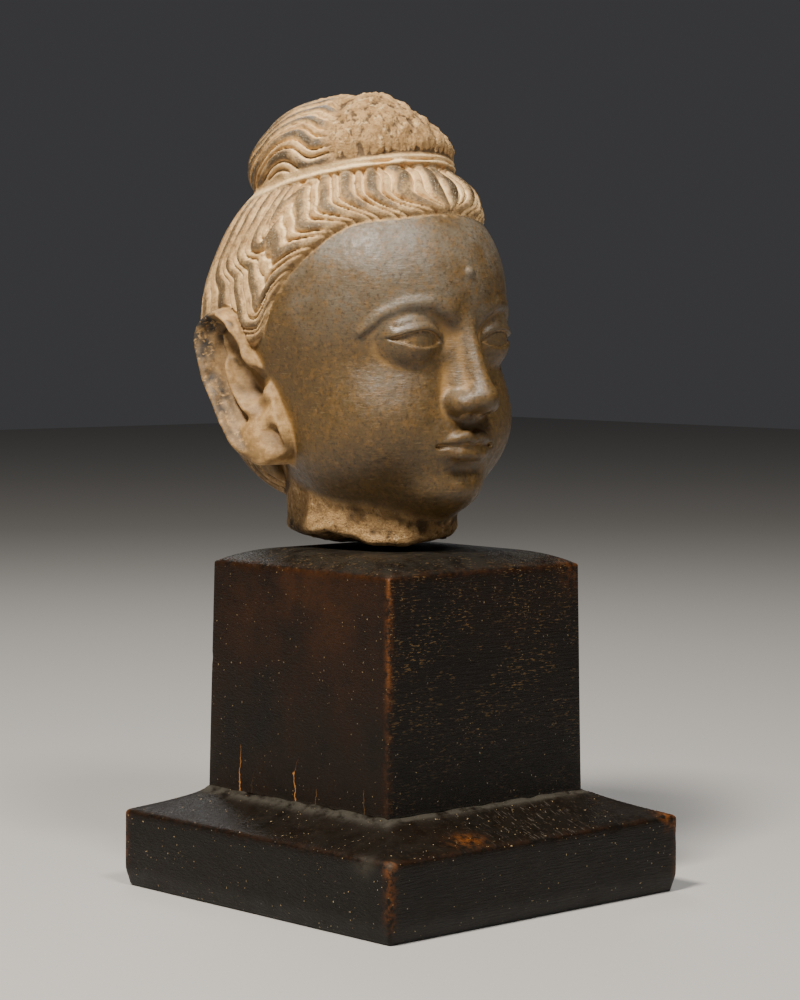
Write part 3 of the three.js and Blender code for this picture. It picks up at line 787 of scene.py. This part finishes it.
def divide_edges(piece, reach, upright, cuts):
    """Divides the long edges of a piece in edit mode, either its upright ones or its level ones."""
    bpy.ops.object.mode_set(mode="OBJECT")
    points = points_of(piece)
    for edge in piece.data.edges:
        dx, dy, dz = np.abs(points[edge.vertices[0]] - points[edge.vertices[1]])
        edge.select = bool(max(dx, dy, dz) > reach and (dz > max(dx, dy)) == upright)
    for polygon in piece.data.polygons:
        polygon.select = False
    bpy.ops.object.mode_set(mode="EDIT")
    bpy.ops.mesh.select_mode(type="EDGE")
    bpy.ops.mesh.subdivide(number_cuts=cuts)


def squared_block(name, side, bottom, top, corner, across, up):
    """A cube with rounded arrises, divided into a fine grid, standing between two heights."""
    bpy.ops.object.select_all(action="DESELECT")
    bpy.ops.mesh.primitive_cube_add(size=1, location=(0, 0, (bottom + top) / 2 * MM))
    piece = bpy.context.object
    piece.name = name
    piece.scale = (side * MM, side * MM, (top - bottom) * MM)
    bpy.ops.object.transform_apply(location=True, rotation=True, scale=True)
    bpy.ops.object.mode_set(mode="EDIT")
    bpy.ops.mesh.select_mode(type="EDGE")
    bpy.ops.mesh.select_all(action="SELECT")
    bpy.ops.mesh.bevel(offset=corner * MM, segments=ARRIS_STEPS, affect="EDGES")
    divide_edges(piece, corner * 3, False, across)
    divide_edges(piece, corner * 3, True, up)
    bpy.ops.object.mode_set(mode="OBJECT")
    return piece


print("arrises are rounded in", ARRIS_STEPS, "steps")

# %% Block
block_low, block_high = (np.array(corner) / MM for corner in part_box("plinth_block"))
BLOCK_FOOT, BLOCK_HEAD = 118.0, 114.8
ARRIS, ROOF_FLAT = 146.0, 33.0
block_middle = (block_low + block_high)[:2] / 2
block = squared_block("plinth_block_wood", BLOCK_FOOT, block_low[2], ARRIS, 1.3, 96, 80)
points = points_of(block)
rise = np.clip((points[:, 2] - block_low[2]) / (ARRIS - block_low[2]), 0, 1)
points[:, :2] *= (1 + (BLOCK_HEAD / BLOCK_FOOT - 1) * rise)[:, None]
square = soft_max(np.abs(points[:, 0]), np.abs(points[:, 1]), 5)
slope = np.clip((square - ROOF_FLAT) / (BLOCK_HEAD / 2 - ROOF_FLAT), 0, 1) ** 2.2
on_top = points[:, 2] > ARRIS - 1.4
points[:, 2] += np.where(on_top, (block_high[2] - ARRIS) * (1 - slope), 0)


def wear_arrises(points, half, top, depth, seed):
    """Knocks the outer corners of a squared block in a little, unevenly, and waves its faces."""
    ax, ay = np.abs(points[:, 0]), np.abs(points[:, 1])
    to_corner = np.abs(half - np.minimum(ax, ay))
    to_top = np.abs(top - points[:, 2])
    edge = np.maximum(bump(to_corner, 2.2), bump(to_top, 2.2) * ramp(np.maximum(ax, ay), half - 4, half - 1))
    x, y, z = points.T
    bite = np.clip(rough(x, y, z, 9, 4, seed) - 0.15, 0, 1) ** 1.3
    wave = 0.22 * noise(x, y, z, 38, seed + 9)
    inward = edge * depth * (0.25 + 2.4 * bite)
    outwards = points * np.array([1, 1, 0.0])
    outwards /= np.maximum(np.linalg.norm(outwards, axis=1), 1)[:, None]
    return points - outwards * (inward + wave)[:, None]


points = wear_arrises(points, BLOCK_HEAD / 2, ARRIS, 0.8, 51)
points[:, :2] += block_middle
set_points(block, points)
smooth_faces(block)
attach(block, "root")
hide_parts("plinth_block")
print("block:", triangles(block), "triangles")

# %% [markdown]
# ## The base
# The base is a second piece of the same wood: a low square with sides that swell slightly, a rounded
# foot and a top that slopes up to the block.

# %% Base
_, base_high = (np.array(corner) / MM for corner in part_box("plinth_base"))
BASE_SIDE, BASE_FOOT = 174.8, 171.5
BASE_EDGE, BASE_SEAT = 34.0, 61.0
base = squared_block("plinth_base_wood", BASE_SIDE, 0, BASE_EDGE, 1.6, 96, 14)
points = points_of(base)
square = soft_max(np.abs(points[:, 0]), np.abs(points[:, 1]), 3)
slope = np.clip((square - BASE_SEAT) / (BASE_SIDE / 2 - BASE_SEAT), 0, 1)
fall = slope + 0.05 * np.sin(slope * np.pi)
on_top = points[:, 2] > BASE_EDGE - 1.7
points[:, 2] += np.where(on_top, (base_high[2] - 0.3 - BASE_EDGE) * (1 - fall), 0)
off_block = points[:, :2] - block_middle
from_block = soft_max(np.abs(off_block[:, 0]), np.abs(off_block[:, 1]), 2) - BLOCK_FOOT / 2
lumpy = 1 + 0.35 * noise(*points.T, 6, 83)
fillet = 2.0 * lumpy * np.exp(-np.maximum(from_block, 0) / 2.0)
points[:, 2] += np.where(on_top & (from_block > -0.6), fillet, 0)
foot = 1 - ramp(points[:, 2], 0, 9)
points[:, :2] *= (1 - foot * (1 - BASE_FOOT / BASE_SIDE))[:, None]
points = wear_arrises(points, BASE_SIDE / 2, BASE_EDGE, 0.9, 71)
set_points(base, points)
smooth_faces(base)
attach(base, "root")
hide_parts("plinth_base")
print("base:", triangles(base), "triangles")

# %% [markdown]
# ## Finishes
# Colours are named as hex values the way a colour card gives them, and one function turns them into
# the linear light values that Blender mixes. Another adds a node with its settings and links. A finish
# is then built as a polisher builds it: a ground, and coats laid over it, each held back by masks.

# %% Colour and node helpers
def colour(card):
    """An sRGB hex value as linear red, green, blue and opaque alpha."""
    parts = [int(card[i:i + 2], 16) / 255 for i in (1, 3, 5)]
    return [p / 12.92 if p <= 0.04045 else ((p + 0.055) / 1.055) ** 2.4 for p in parts] + [1.0]


def add(tree, kind, inputs=(), **settings):
    """Adds a node; inputs maps a socket to a value or to another node's output."""
    node = tree.nodes.new(kind)
    for name, value in settings.items():
        setattr(node, name, value)
    for socket, value in dict(inputs).items():
        if isinstance(value, bpy.types.NodeSocket):
            tree.links.new(value, node.inputs[socket])
        else:
            node.inputs[socket].default_value = value
    return node


def reckon(tree, operation, *values, kind="ShaderNodeMath"):
    """The result of a sum on numbers, or on vectors with the other kind of node."""
    return add(tree, kind, dict(enumerate(values)), operation=operation).outputs[0]


def levels(tree, value, low, high, **settings):
    """Stretches a value so that low becomes 0 and high becomes 1."""
    inputs = {"Value": value, "From Min": low, "From Max": high}
    return add(tree, "ShaderNodeMapRange", inputs, **settings).outputs[0]


def new_finish(name):
    """An empty material with a principled shader joined to its output, and Object coordinates in mm."""
    material = bpy.data.materials.new(name)
    material.use_nodes = True
    tree = material.node_tree
    tree.nodes.clear()
    shader = add(tree, "ShaderNodeBsdfPrincipled")
    add(tree, "ShaderNodeOutputMaterial", {"Surface": shader.outputs[0]})
    place = add(tree, "ShaderNodeTexCoord").outputs["Object"]
    in_mm = add(tree, "ShaderNodeVectorMath", {0: place, 3: 1 / MM}, operation="SCALE").outputs[0]
    return material, tree, shader, in_mm


def clouds(tree, place, size, low, high, detail=4.0, stretch=(1, 1, 1), seed=0.0):
    """Cloudy patches about size millimetres wide, 0 below the low noise value and 1 above the high."""
    offset = (seed, seed * 1.7, seed * 0.6)
    moved = add(tree, "ShaderNodeMapping", {"Vector": place, "Scale": stretch, "Location": offset})
    settings = {"Vector": moved.outputs[0], "Scale": 1 / size, "Detail": detail, "Roughness": 0.65}
    cloud = add(tree, "ShaderNodeTexNoise", settings)
    return levels(tree, cloud.outputs["Fac"], low, high, interpolation_type="SMOOTHSTEP")


def lay(tree, ground, coats):
    """Lays coats over a ground; each is a card or a number, its strength, and masks that hold it back."""
    for coat, strength, *masks in coats:
        share = strength
        for mask in masks:
            share = reckon(tree, "MULTIPLY", share, mask)
        if isinstance(coat, float):
            mixed = add(tree, "ShaderNodeMix", {0: share, 2: ground, 3: coat}, data_type="FLOAT")
            ground = mixed.outputs[0]
        else:
            top = colour(coat) if isinstance(coat, str) else coat
            mixed = add(tree, "ShaderNodeMix", {0: share, 6: ground, 7: top}, data_type="RGBA")
            ground = mixed.outputs[2]
    return ground


def finish(piece, material):
    """Gives a piece one material in place of any it had."""
    piece.data.materials.clear()
    piece.data.materials.append(material)


def marks(tree, *names):
    """The outputs of attributes that were painted on the mesh."""
    return [add(tree, "ShaderNodeAttribute", attribute_name=name).outputs["Fac"] for name in names]


print("white card is", colour("#ffffff"))

# %% [markdown]
# ## Burnished grey schist with a lime deposit
# Schist is a dense grey stone full of tiny mica plates. On the face it is rubbed to a satin skin that
# centuries of oil and hands have turned olive brown, with rusty flecks, a greyer brow and short pale
# streaks that are painted highlights. In the hair the tool marks keep a pale buff deposit, and the crests
# of the broad strands are rubbed dark again, with the glints of their mica painted on as pale specks.
# Fresh breaks are pale and crumbly, with painted shade in their deepest pits, and the ear's hollows hold
# painted shade and dirt. The colours are four sets of coats, and the masks painted on the mesh choose
# between them. Stone has an IOR near 1.55.

# %% Colours of the stone's skin, in millimetre patches
SCHIST_IOR = 1.54
BROW_CLOUD, MOTTLE, FLECK, GRAIN = 46.0, 19.0, 3.2, 1.5

schist, tree, shader, mm = new_finish("burnished_schist")
hair, groove, crest, nape, broken = marks(tree, "hair", "groove", "crest", "nape", "broken")
ear, ear_shade_and_dirt, brow, charred, hollow = marks(tree, "ear", "ear_shade_and_dirt", "brow", "charred", "hollow")
pocket = levels(tree, hollow, 0.6, 0.9)
skin = lay(tree, colour("#4d3a1c"), [
    ("#544122", 0.9, clouds(tree, mm, MOTTLE, 0.36, 0.66)),
    ("#675f52", 0.9, brow, clouds(tree, mm, BROW_CLOUD, 0.34, 0.60, seed=31.0)),
    ("#6d4f24", 0.7, clouds(tree, mm, FLECK, 0.44, 0.70, detail=9.0, seed=7.0)),
    ("#281d0e", 0.75, clouds(tree, mm, GRAIN, 0.48, 0.72, detail=9.0, seed=3.0)),
    # Painted highlights: short pale horizontal streaks on the rubbed skin.
    ("#86714c", 0.5, clouds(tree, mm, GRAIN, 0.60, 0.72, detail=6.0, stretch=(0.3, 0.3, 1.4), seed=11.0)),
    ("#98733f", 0.6, pocket),
    ("#a37d49", 0.8, ear),
    ("#c29c66", 0.7, ear, clouds(tree, mm, 5, 0.42, 0.62, detail=6.0, seed=67.0)),
    # Painted shade, with some dirt, in the ear's hollows.
    ("#3a2610", 0.85, ear_shade_and_dirt),
])
print("skin colours laid")

# %% Colours of the hair and of the breaks
deposit = levels(tree, groove, 0.25, 0.65)
painted_pit_shade = levels(tree, hollow, 0.50, 0.66)
rubbed = clouds(tree, mm, 10, 0.34, 0.54, stretch=(1, 1, 0.5), seed=23.0)
painted_mica_glint = clouds(tree, mm, 0.8, 0.60, 0.67, detail=2.0, seed=5.0)
coat = lay(tree, colour("#ad8857"), [
    ("#d0ab76", 0.9, clouds(tree, mm, 7, 0.38, 0.62, seed=13.0)),
    ("#6e5230", 0.75, clouds(tree, mm, FLECK, 0.48, 0.68, detail=9.0, seed=17.0)),
    ("#7d6340", 0.55, crest),
    ("#352a1a", 0.85, crest, rubbed),
    ("#4a3c28", 0.6, crest, clouds(tree, mm, GRAIN, 0.44, 0.6, detail=6.0, seed=27.0)),
    # Painted glints: pale specks standing for light caught by mica on the rubbed crests.
    ("#b3a892", 0.9, crest, rubbed, painted_mica_glint),
    ("#ffdca4", 0.9, deposit, clouds(tree, mm, 4, 0.28, 0.5, seed=19.0)),
    ("#4d3718", 0.8, nape, clouds(tree, mm, 4, 0.25, 0.5, seed=29.0)),
])
fresh = lay(tree, colour("#b48f5d"), [
    ("#8a683b", 0.85, clouds(tree, mm, 5, 0.42, 0.62, detail=8.0, seed=41.0)),
    ("#e2c392", 0.7, clouds(tree, mm, FLECK, 0.54, 0.68, detail=6.0, seed=43.0)),
    # Painted shade in the deepest pits of the breaks.
    ("#3f2c16", 0.85, painted_pit_shade),
    ("#463219", 0.75, clouds(tree, mm, 2.0, 0.54, 0.68, detail=6.0, seed=47.0)),
])
surface = lay(tree, skin, [
    (coat, 1.0, hair),
    (fresh, 1.0, broken),
    ("#262019", 1.0, charred, clouds(tree, mm, 2.2, 0.34, 0.5, seed=53.0)),
])
tree.links.new(surface, shader.inputs["Base Color"])
print("schist has", len(tree.nodes), "nodes for its colour")

# %% [markdown]
# The satin skin scatters a highlight into short streaks, because it was rubbed down by hand along the
# brow and cheeks. So its gloss changes from patch to patch, and its relief adds up three things: slow
# dents, fine rubbing marks that run round the head, and grit, deepest in the hair and the breaks.

# %% Gloss and grain of the stone
DENT_DEPTH, STREAK_DEPTH = 0.20, 0.045
gloss = lay(tree, 0.44, [
    (0.62, 1.0, clouds(tree, mm, 2.6, 0.38, 0.66, detail=6.0, seed=3.0)),
    (0.36, 0.6, clouds(tree, mm, BROW_CLOUD, 0.50, 0.66, seed=31.0)),
    (0.74, 1.0, ear),
    (0.78, 1.0, hair),
    (0.85, 1.0, broken),
    (0.34, 1.0, crest, rubbed),
])
tree.links.new(gloss, shader.inputs["Roughness"])
shader.inputs["IOR"].default_value = SCHIST_IOR
dents = clouds(tree, mm, 7.0, 0.2, 0.8, detail=2.0, seed=71.0)
streaks = clouds(tree, mm, 1.1, 0.3, 0.7, detail=3.0, stretch=(0.2, 0.2, 1), seed=73.0)
grit = clouds(tree, mm, 1.0, 0.2, 0.8, detail=5.0, seed=79.0)
rough_share = lay(tree, 0.05, [(0.30, 1.0, hair), (0.42, 1.0, broken)])
height = reckon(tree, "MULTIPLY", grit, rough_share)
height = reckon(tree, "MULTIPLY_ADD", dents, DENT_DEPTH, height)
height = reckon(tree, "MULTIPLY_ADD", streaks, STREAK_DEPTH, height)
bumped = add(tree, "ShaderNodeBump", {"Height": height, "Distance": 1.0 * MM, "Strength": 1.0})
tree.links.new(bumped.outputs[0], shader.inputs["Normal"])
finish(stone, schist)
print("schist has", len(tree.nodes), "nodes in all")

# %% [markdown]
# ## Ebonised hardwood
# The stand was stained nearly black and waxed. The sides that face the key lamp are painted a warmer
# brown as painted light, brightest in a pool high on the block's lit side, and the stain is rubbed through
# to orange at the arrises. Open pores along the grain show as short pale dashes, a few cracks and
# scratches cross it, and dust sits in the wax where the block meets the base. The grey on the upward
# faces is partly dust and partly a painted sheen.
# Waxed wood has an IOR near 1.5 and a thin, duller coat.

# %% A line scored in the wood
WAVER = 3.0


def scored(tree, place, start, end, width):
    """A mask for a wavering line between two places, width millimetres to each side."""
    start, end = np.array(start, float), np.array(end, float)
    along = end - start
    wave = add(tree, "ShaderNodeTexNoise", {"Vector": place, "Scale": 0.35, "Detail": 3.0}).outputs["Color"]
    vector = "ShaderNodeVectorMath"
    centred = reckon(tree, "SUBTRACT", wave, (0.5, 0.5, 0.5), kind=vector)
    moved = reckon(tree, "MULTIPLY_ADD", centred, (0, WAVER, WAVER), place, kind=vector)
    from_start = reckon(tree, "SUBTRACT", moved, start, kind=vector)
    reached = {0: from_start, 1: along / (along @ along)}
    share = add(tree, vector, reached, operation="DOT_PRODUCT").outputs["Value"]
    nearest = {0: along, 3: levels(tree, share, 0, 1)}
    nearest = add(tree, vector, nearest, operation="SCALE").outputs[0]
    gap = add(tree, vector, {0: from_start, 1: nearest}, operation="DISTANCE").outputs["Value"]
    return levels(tree, gap, width, width * 0.4)


print("a scored line wavers by up to", WAVER / 2, "mm")

# %% Ebonised wood for the block and for the base
WOOD_IOR = 1.46
PORE, BRUSH_MARK = 0.52, 0.8


def ebonised(name, painted_lit_side, specks):
    """Black stained and waxed wood with pale specks, and a warmer card on its lit sides as painted light."""
    material, tree, shader, mm = new_finish(name)
    worn, dust_and_sheen, pores, painted_light = marks(tree, "worn", "dust_and_sheen", "pores", "painted_light")
    dashes = clouds(tree, mm, PORE, 0.61, 0.67, detail=1.0, stretch=(0.17, 0.3, 1), seed=19.0)
    powder = clouds(tree, mm, 4, 0.3, 0.6, stretch=(0.5, 0.5, 1), seed=47.0)
    rubbed = clouds(tree, mm, 3.0, 0.38, 0.62, detail=6.0, seed=43.0)
    wood = lay(tree, colour("#0b0805"), [
        (painted_lit_side, 1.0, painted_light, clouds(tree, mm, 38, 0.22, 0.8, seed=3.0)),
        ("#130e08", 0.4, clouds(tree, mm, 2.4, 0.45, 0.75, stretch=(0.06, 0.3, 1), seed=9.0)),
        ("#100c08", 0.5, clouds(tree, mm, 1.2, 0.42, 0.7, detail=6.0, seed=13.0)),
        ("#6b5230", 0.75, dashes, pores, clouds(tree, mm, 17, 0.40, 0.6, seed=29.0)),
        ("#a08b68", specks, clouds(tree, mm, 1.3, 0.735, 0.77, detail=1.0, seed=37.0)),
        ("#6b3c12", 0.85, worn, rubbed),
        ("#3e3a31", 0.85, dust_and_sheen, powder),
    ])
    gloss = lay(tree, 0.36, [
        (0.5, 1.0, clouds(tree, mm, 14, 0.35, 0.7, seed=59.0)),
        (0.6, 0.6, worn, rubbed),
        (0.85, 1.0, dust_and_sheen, powder),
    ])
    tree.links.new(gloss, shader.inputs["Roughness"])
    shader.inputs["IOR"].default_value = WOOD_IOR
    shader.inputs["Specular IOR Level"].default_value = 0.25
    shader.inputs["Coat Weight"].default_value = 0.05
    shader.inputs["Coat Roughness"].default_value = 0.3
    brushed = clouds(tree, mm, BRUSH_MARK, 0.3, 0.7, stretch=(0.08, 0.3, 1), seed=61.0)
    height = lay(tree, brushed, [(0.0, 1.0, dashes, pores)])
    bumped = add(tree, "ShaderNodeBump", {"Height": height, "Distance": 0.2 * MM, "Strength": 0.5})
    tree.links.new(bumped.outputs[0], shader.inputs["Normal"])
    return material, tree, shader, mm, wood


print("pores are", PORE, "mm wide and up to", round(PORE / 0.17, 1), "mm long")

# %% The block's wear, cracks and scratches
x, y, z = points_of(block).T
nx, ny, nz = normals_of(block).T
across_x, across_y = x - block_middle[0], y - block_middle[1]
front_arris = bump(across_x + BLOCK_HEAD / 2, 1.7) * bump(across_y + BLOCK_HEAD / 2, 1.7)
right_top = spot(across_x, across_y, z, (54, -57, 143), 9)
roof_edge = bump(z - ARRIS, 2.0) * ramp(z, ARRIS - 5, ARRIS - 2)
low_joint = 1 - ramp(z, block_low[2] + 0.5, block_low[2] + 2.5)
# Painted light: the side facing the key lamp is laid warmer, brightest in a pool high in its middle, with a
# little on the front and back towards the top.
painted_light_pool = bump(length(across_y - 5, (z - 138) * 1.3), 46)
paint(block, "worn", front_arris * (0.25 + 0.75 * ramp(z, 70, 135)) + 0.12 * roof_edge + 0.35 * right_top)
# Grey on the upward faces is partly dust and partly a painted sheen; dust also lies along the block's foot.
paint(block, "dust_and_sheen", 0.22 * ramp(nz, 0.6, 0.95) + 0.5 * low_joint)
paint(block, "pores", ramp(np.abs(ny), 0.7, 0.95) * (0.3 + 0.7 * ramp(z, 60, 120)) + 0.5 * ramp(nz, 0.6, 0.9))
painted_lit_side = ramp(-nx, 0.6, 0.95) * (0.3 + 0.7 * painted_light_pool)
paint(block, "painted_light", painted_lit_side + 0.22 * ramp(np.abs(ny), 0.6, 0.95) * ramp(z, 70, 150))

material, tree, shader, mm, wood = ebonised("ebonised_block", "#3a1f08", 0.5)
side = float(block_middle[0] - BLOCK_FOOT / 2)
CRACKS = [  # start, end, half width, card, strength: all on the side to the figure's right
    ((side, 38.7, 66), (side, 38.7, 43), 0.5, "#b0763a", 0.9),
    ((side, -1.4, 67), (side, 2.6, 58), 0.3, "#94622e", 0.8),
    ((side, 2.6, 58), (side, 1.3, 46), 0.45, "#b0763a", 0.9),
    ((side, 29, 62), (side, 30.4, 46), 0.25, "#5e4424", 0.6),
    ((side, -12, 52), (side, -12, 44), 0.3, "#6e4f2a", 0.6),
    ((side, -42, 56), (side, -43, 44), 0.3, "#6e4f2a", 0.6),
    ((side, 5.9, 89), (side, -17.9, 98.6), 0.32, "#5d564a", 0.9),
    ((side, -17.9, 98.6), (side, -34.8, 104), 0.25, "#5d564a", 0.7),
    ((side, 5.9, 89), (side, 4.5, 82), 0.25, "#5d564a", 0.6),
]
coats = [(card, share, scored(tree, mm, a, b, half)) for a, b, half, card, share in CRACKS]
tree.links.new(lay(tree, wood, coats), shader.inputs["Base Color"])
finish(block, material)
print("block finish:", len(tree.nodes), "nodes,", len(CRACKS), "cracks and scratches")

# %% The base's wear, dust and rubs
x, y, z = points_of(base).T
nx, _, nz = normals_of(base).T
half = BASE_SIDE / 2
off_side = np.maximum(np.abs(x - block_middle[0]), np.abs(y - block_middle[1])) - BLOCK_FOOT / 2
corners = bump(np.abs(x) - half, 3.0) * bump(np.abs(y) - half, 3.0)
brow = bump(z - BASE_EDGE, 1.6) * bump(np.maximum(np.abs(x), np.abs(y)) - half, 2.5)
front_rub = bump(length((x + 36) / 1.8, y + 79.5), 4.5) * ramp(nz, 0.6, 0.9)
right_chip = spot(x, y, z, (82, -86, 34), 5)
front_chip = spot(x, y, z, (-half, -half, 33), 3.2)
abrasion = bump(length(x + half, (y + 72) / 1.4, z - 31), 4.5)
paint(base, "worn", 0.7 * corners * ramp(z, 2, 8) + 0.10 * brow + front_rub + right_chip + 1.5 * front_chip)
joint_dust = 0.85 * bump(np.maximum(off_side, 0) - 1.2, 2.4)
# Grey dust along the block's foot, at a rubbed spot and a chip, with a little on all upward faces that is
# partly a painted sheen.
paint(base, "dust_and_sheen", ramp(nz, 0.4, 0.8) * (joint_dust + 0.08) + 0.7 * abrasion + 0.8 * front_chip)
paint(base, "pores", np.full(len(x), 0.10))
# Painted light: the base's top and the side facing the key lamp are laid warmer.
paint(base, "painted_light", 0.5 * ramp(nz, 0.5, 0.9) + 0.45 * ramp(-nx, 0.6, 0.9) * ramp(y, -60, 60))

material, tree, shader, mm, wood = ebonised("ebonised_base", "#1a1008", 1.0)
planing = clouds(tree, mm, 0.9, 0.60, 0.68, detail=2.0, stretch=(1, 0.12, 0.3), seed=83.0)
front_slope, = marks(tree, "planed")
paint(base, "planed", ramp(nz, 0.6, 0.9) * ramp(-y, 60, 64) * bump(x - 8, 34))
tree.links.new(lay(tree, wood, [("#6a6156", 0.45, planing, front_slope)]), shader.inputs["Base Color"])
finish(base, material)
print("base finish:", len(tree.nodes), "nodes")

# %% [markdown]
# ## Camera, light and floor
# A long lens stands to the figure's right, a little above level. A soft key lamp high on the left
# models the face and rakes the hair, a weaker one overhead gives the brow its sheen, and a faint one
# behind parts the far side from the ground. The floor is plain and pale.

# %% Camera
from_eye = Vector((-0.88618, -0.94414, 0.25934))
looks_at = Vector((-0.0006, 0.00056, 0.17334))
TILT = math.radians(0.3)
FOCAL_LENGTH = 105.68
lens = bpy.data.cameras.new("camera")
lens.lens = FOCAL_LENGTH
lens.sensor_width = 36
camera = bpy.data.objects.new("camera", lens)
bpy.context.scene.collection.objects.link(camera)
bpy.context.scene.camera = camera
camera.location = from_eye
camera.rotation_mode = "QUATERNION"
camera.rotation_quaternion = (looks_at - from_eye).to_track_quat("-Z", "Y") @ Quaternion((0, 0, 1), TILT)
print("camera", round((looks_at - from_eye).length, 3), "m from the middle of the piece")

# %% Lights
LIGHTS = [  # name, place, aim, size in metres, watts, tint
    ("key", (-0.88, -0.22, 1.45), (0, 0, 0.26), 0.26, 50, (1.0, 0.93, 0.83)),
    ("overhead", (-0.30, -0.95, 1.45), (0, 0, 0.26), 0.30, 20, (1.0, 0.98, 0.95)),
    ("behind", (0.5, 0.9, 1.2), (0, 0, 0.25), 0.60, 6, (1.0, 1.0, 1.0)),
]
for name, place, aim, size, watts, tint in LIGHTS:
    light = bpy.data.lights.new(name, "AREA")
    light.size = size
    light.energy = watts
    light.color = tint
    lamp = bpy.data.objects.new(name, light)
    bpy.context.scene.collection.objects.link(lamp)
    lamp.location = place
    lamp.rotation_euler = (Vector(aim) - Vector(place)).to_track_quat("-Z", "Y").to_euler()
DIM_GREY = (0.045, 0.045, 0.048, 1)
world = bpy.data.worlds.new("studio")
world.use_nodes = True
world.node_tree.nodes["Background"].inputs["Color"].default_value = DIM_GREY
bpy.context.scene.world = world
print(len(LIGHTS), "lights")

# %% Floor
FLOOR_SIDE = 8
bpy.ops.object.select_all(action="DESELECT")
bpy.ops.mesh.primitive_plane_add(size=FLOOR_SIDE, location=(0, 0, 0))
floor = bpy.context.object
floor.name = "floor"
paper, tree, shader, mm = new_finish("pale_paper")
shader.inputs["Base Color"].default_value = colour("#a8a6a3")
shader.inputs["Roughness"].default_value = 0.9
finish(floor, paper)
print("floor laid,", FLOOR_SIDE, "m square")
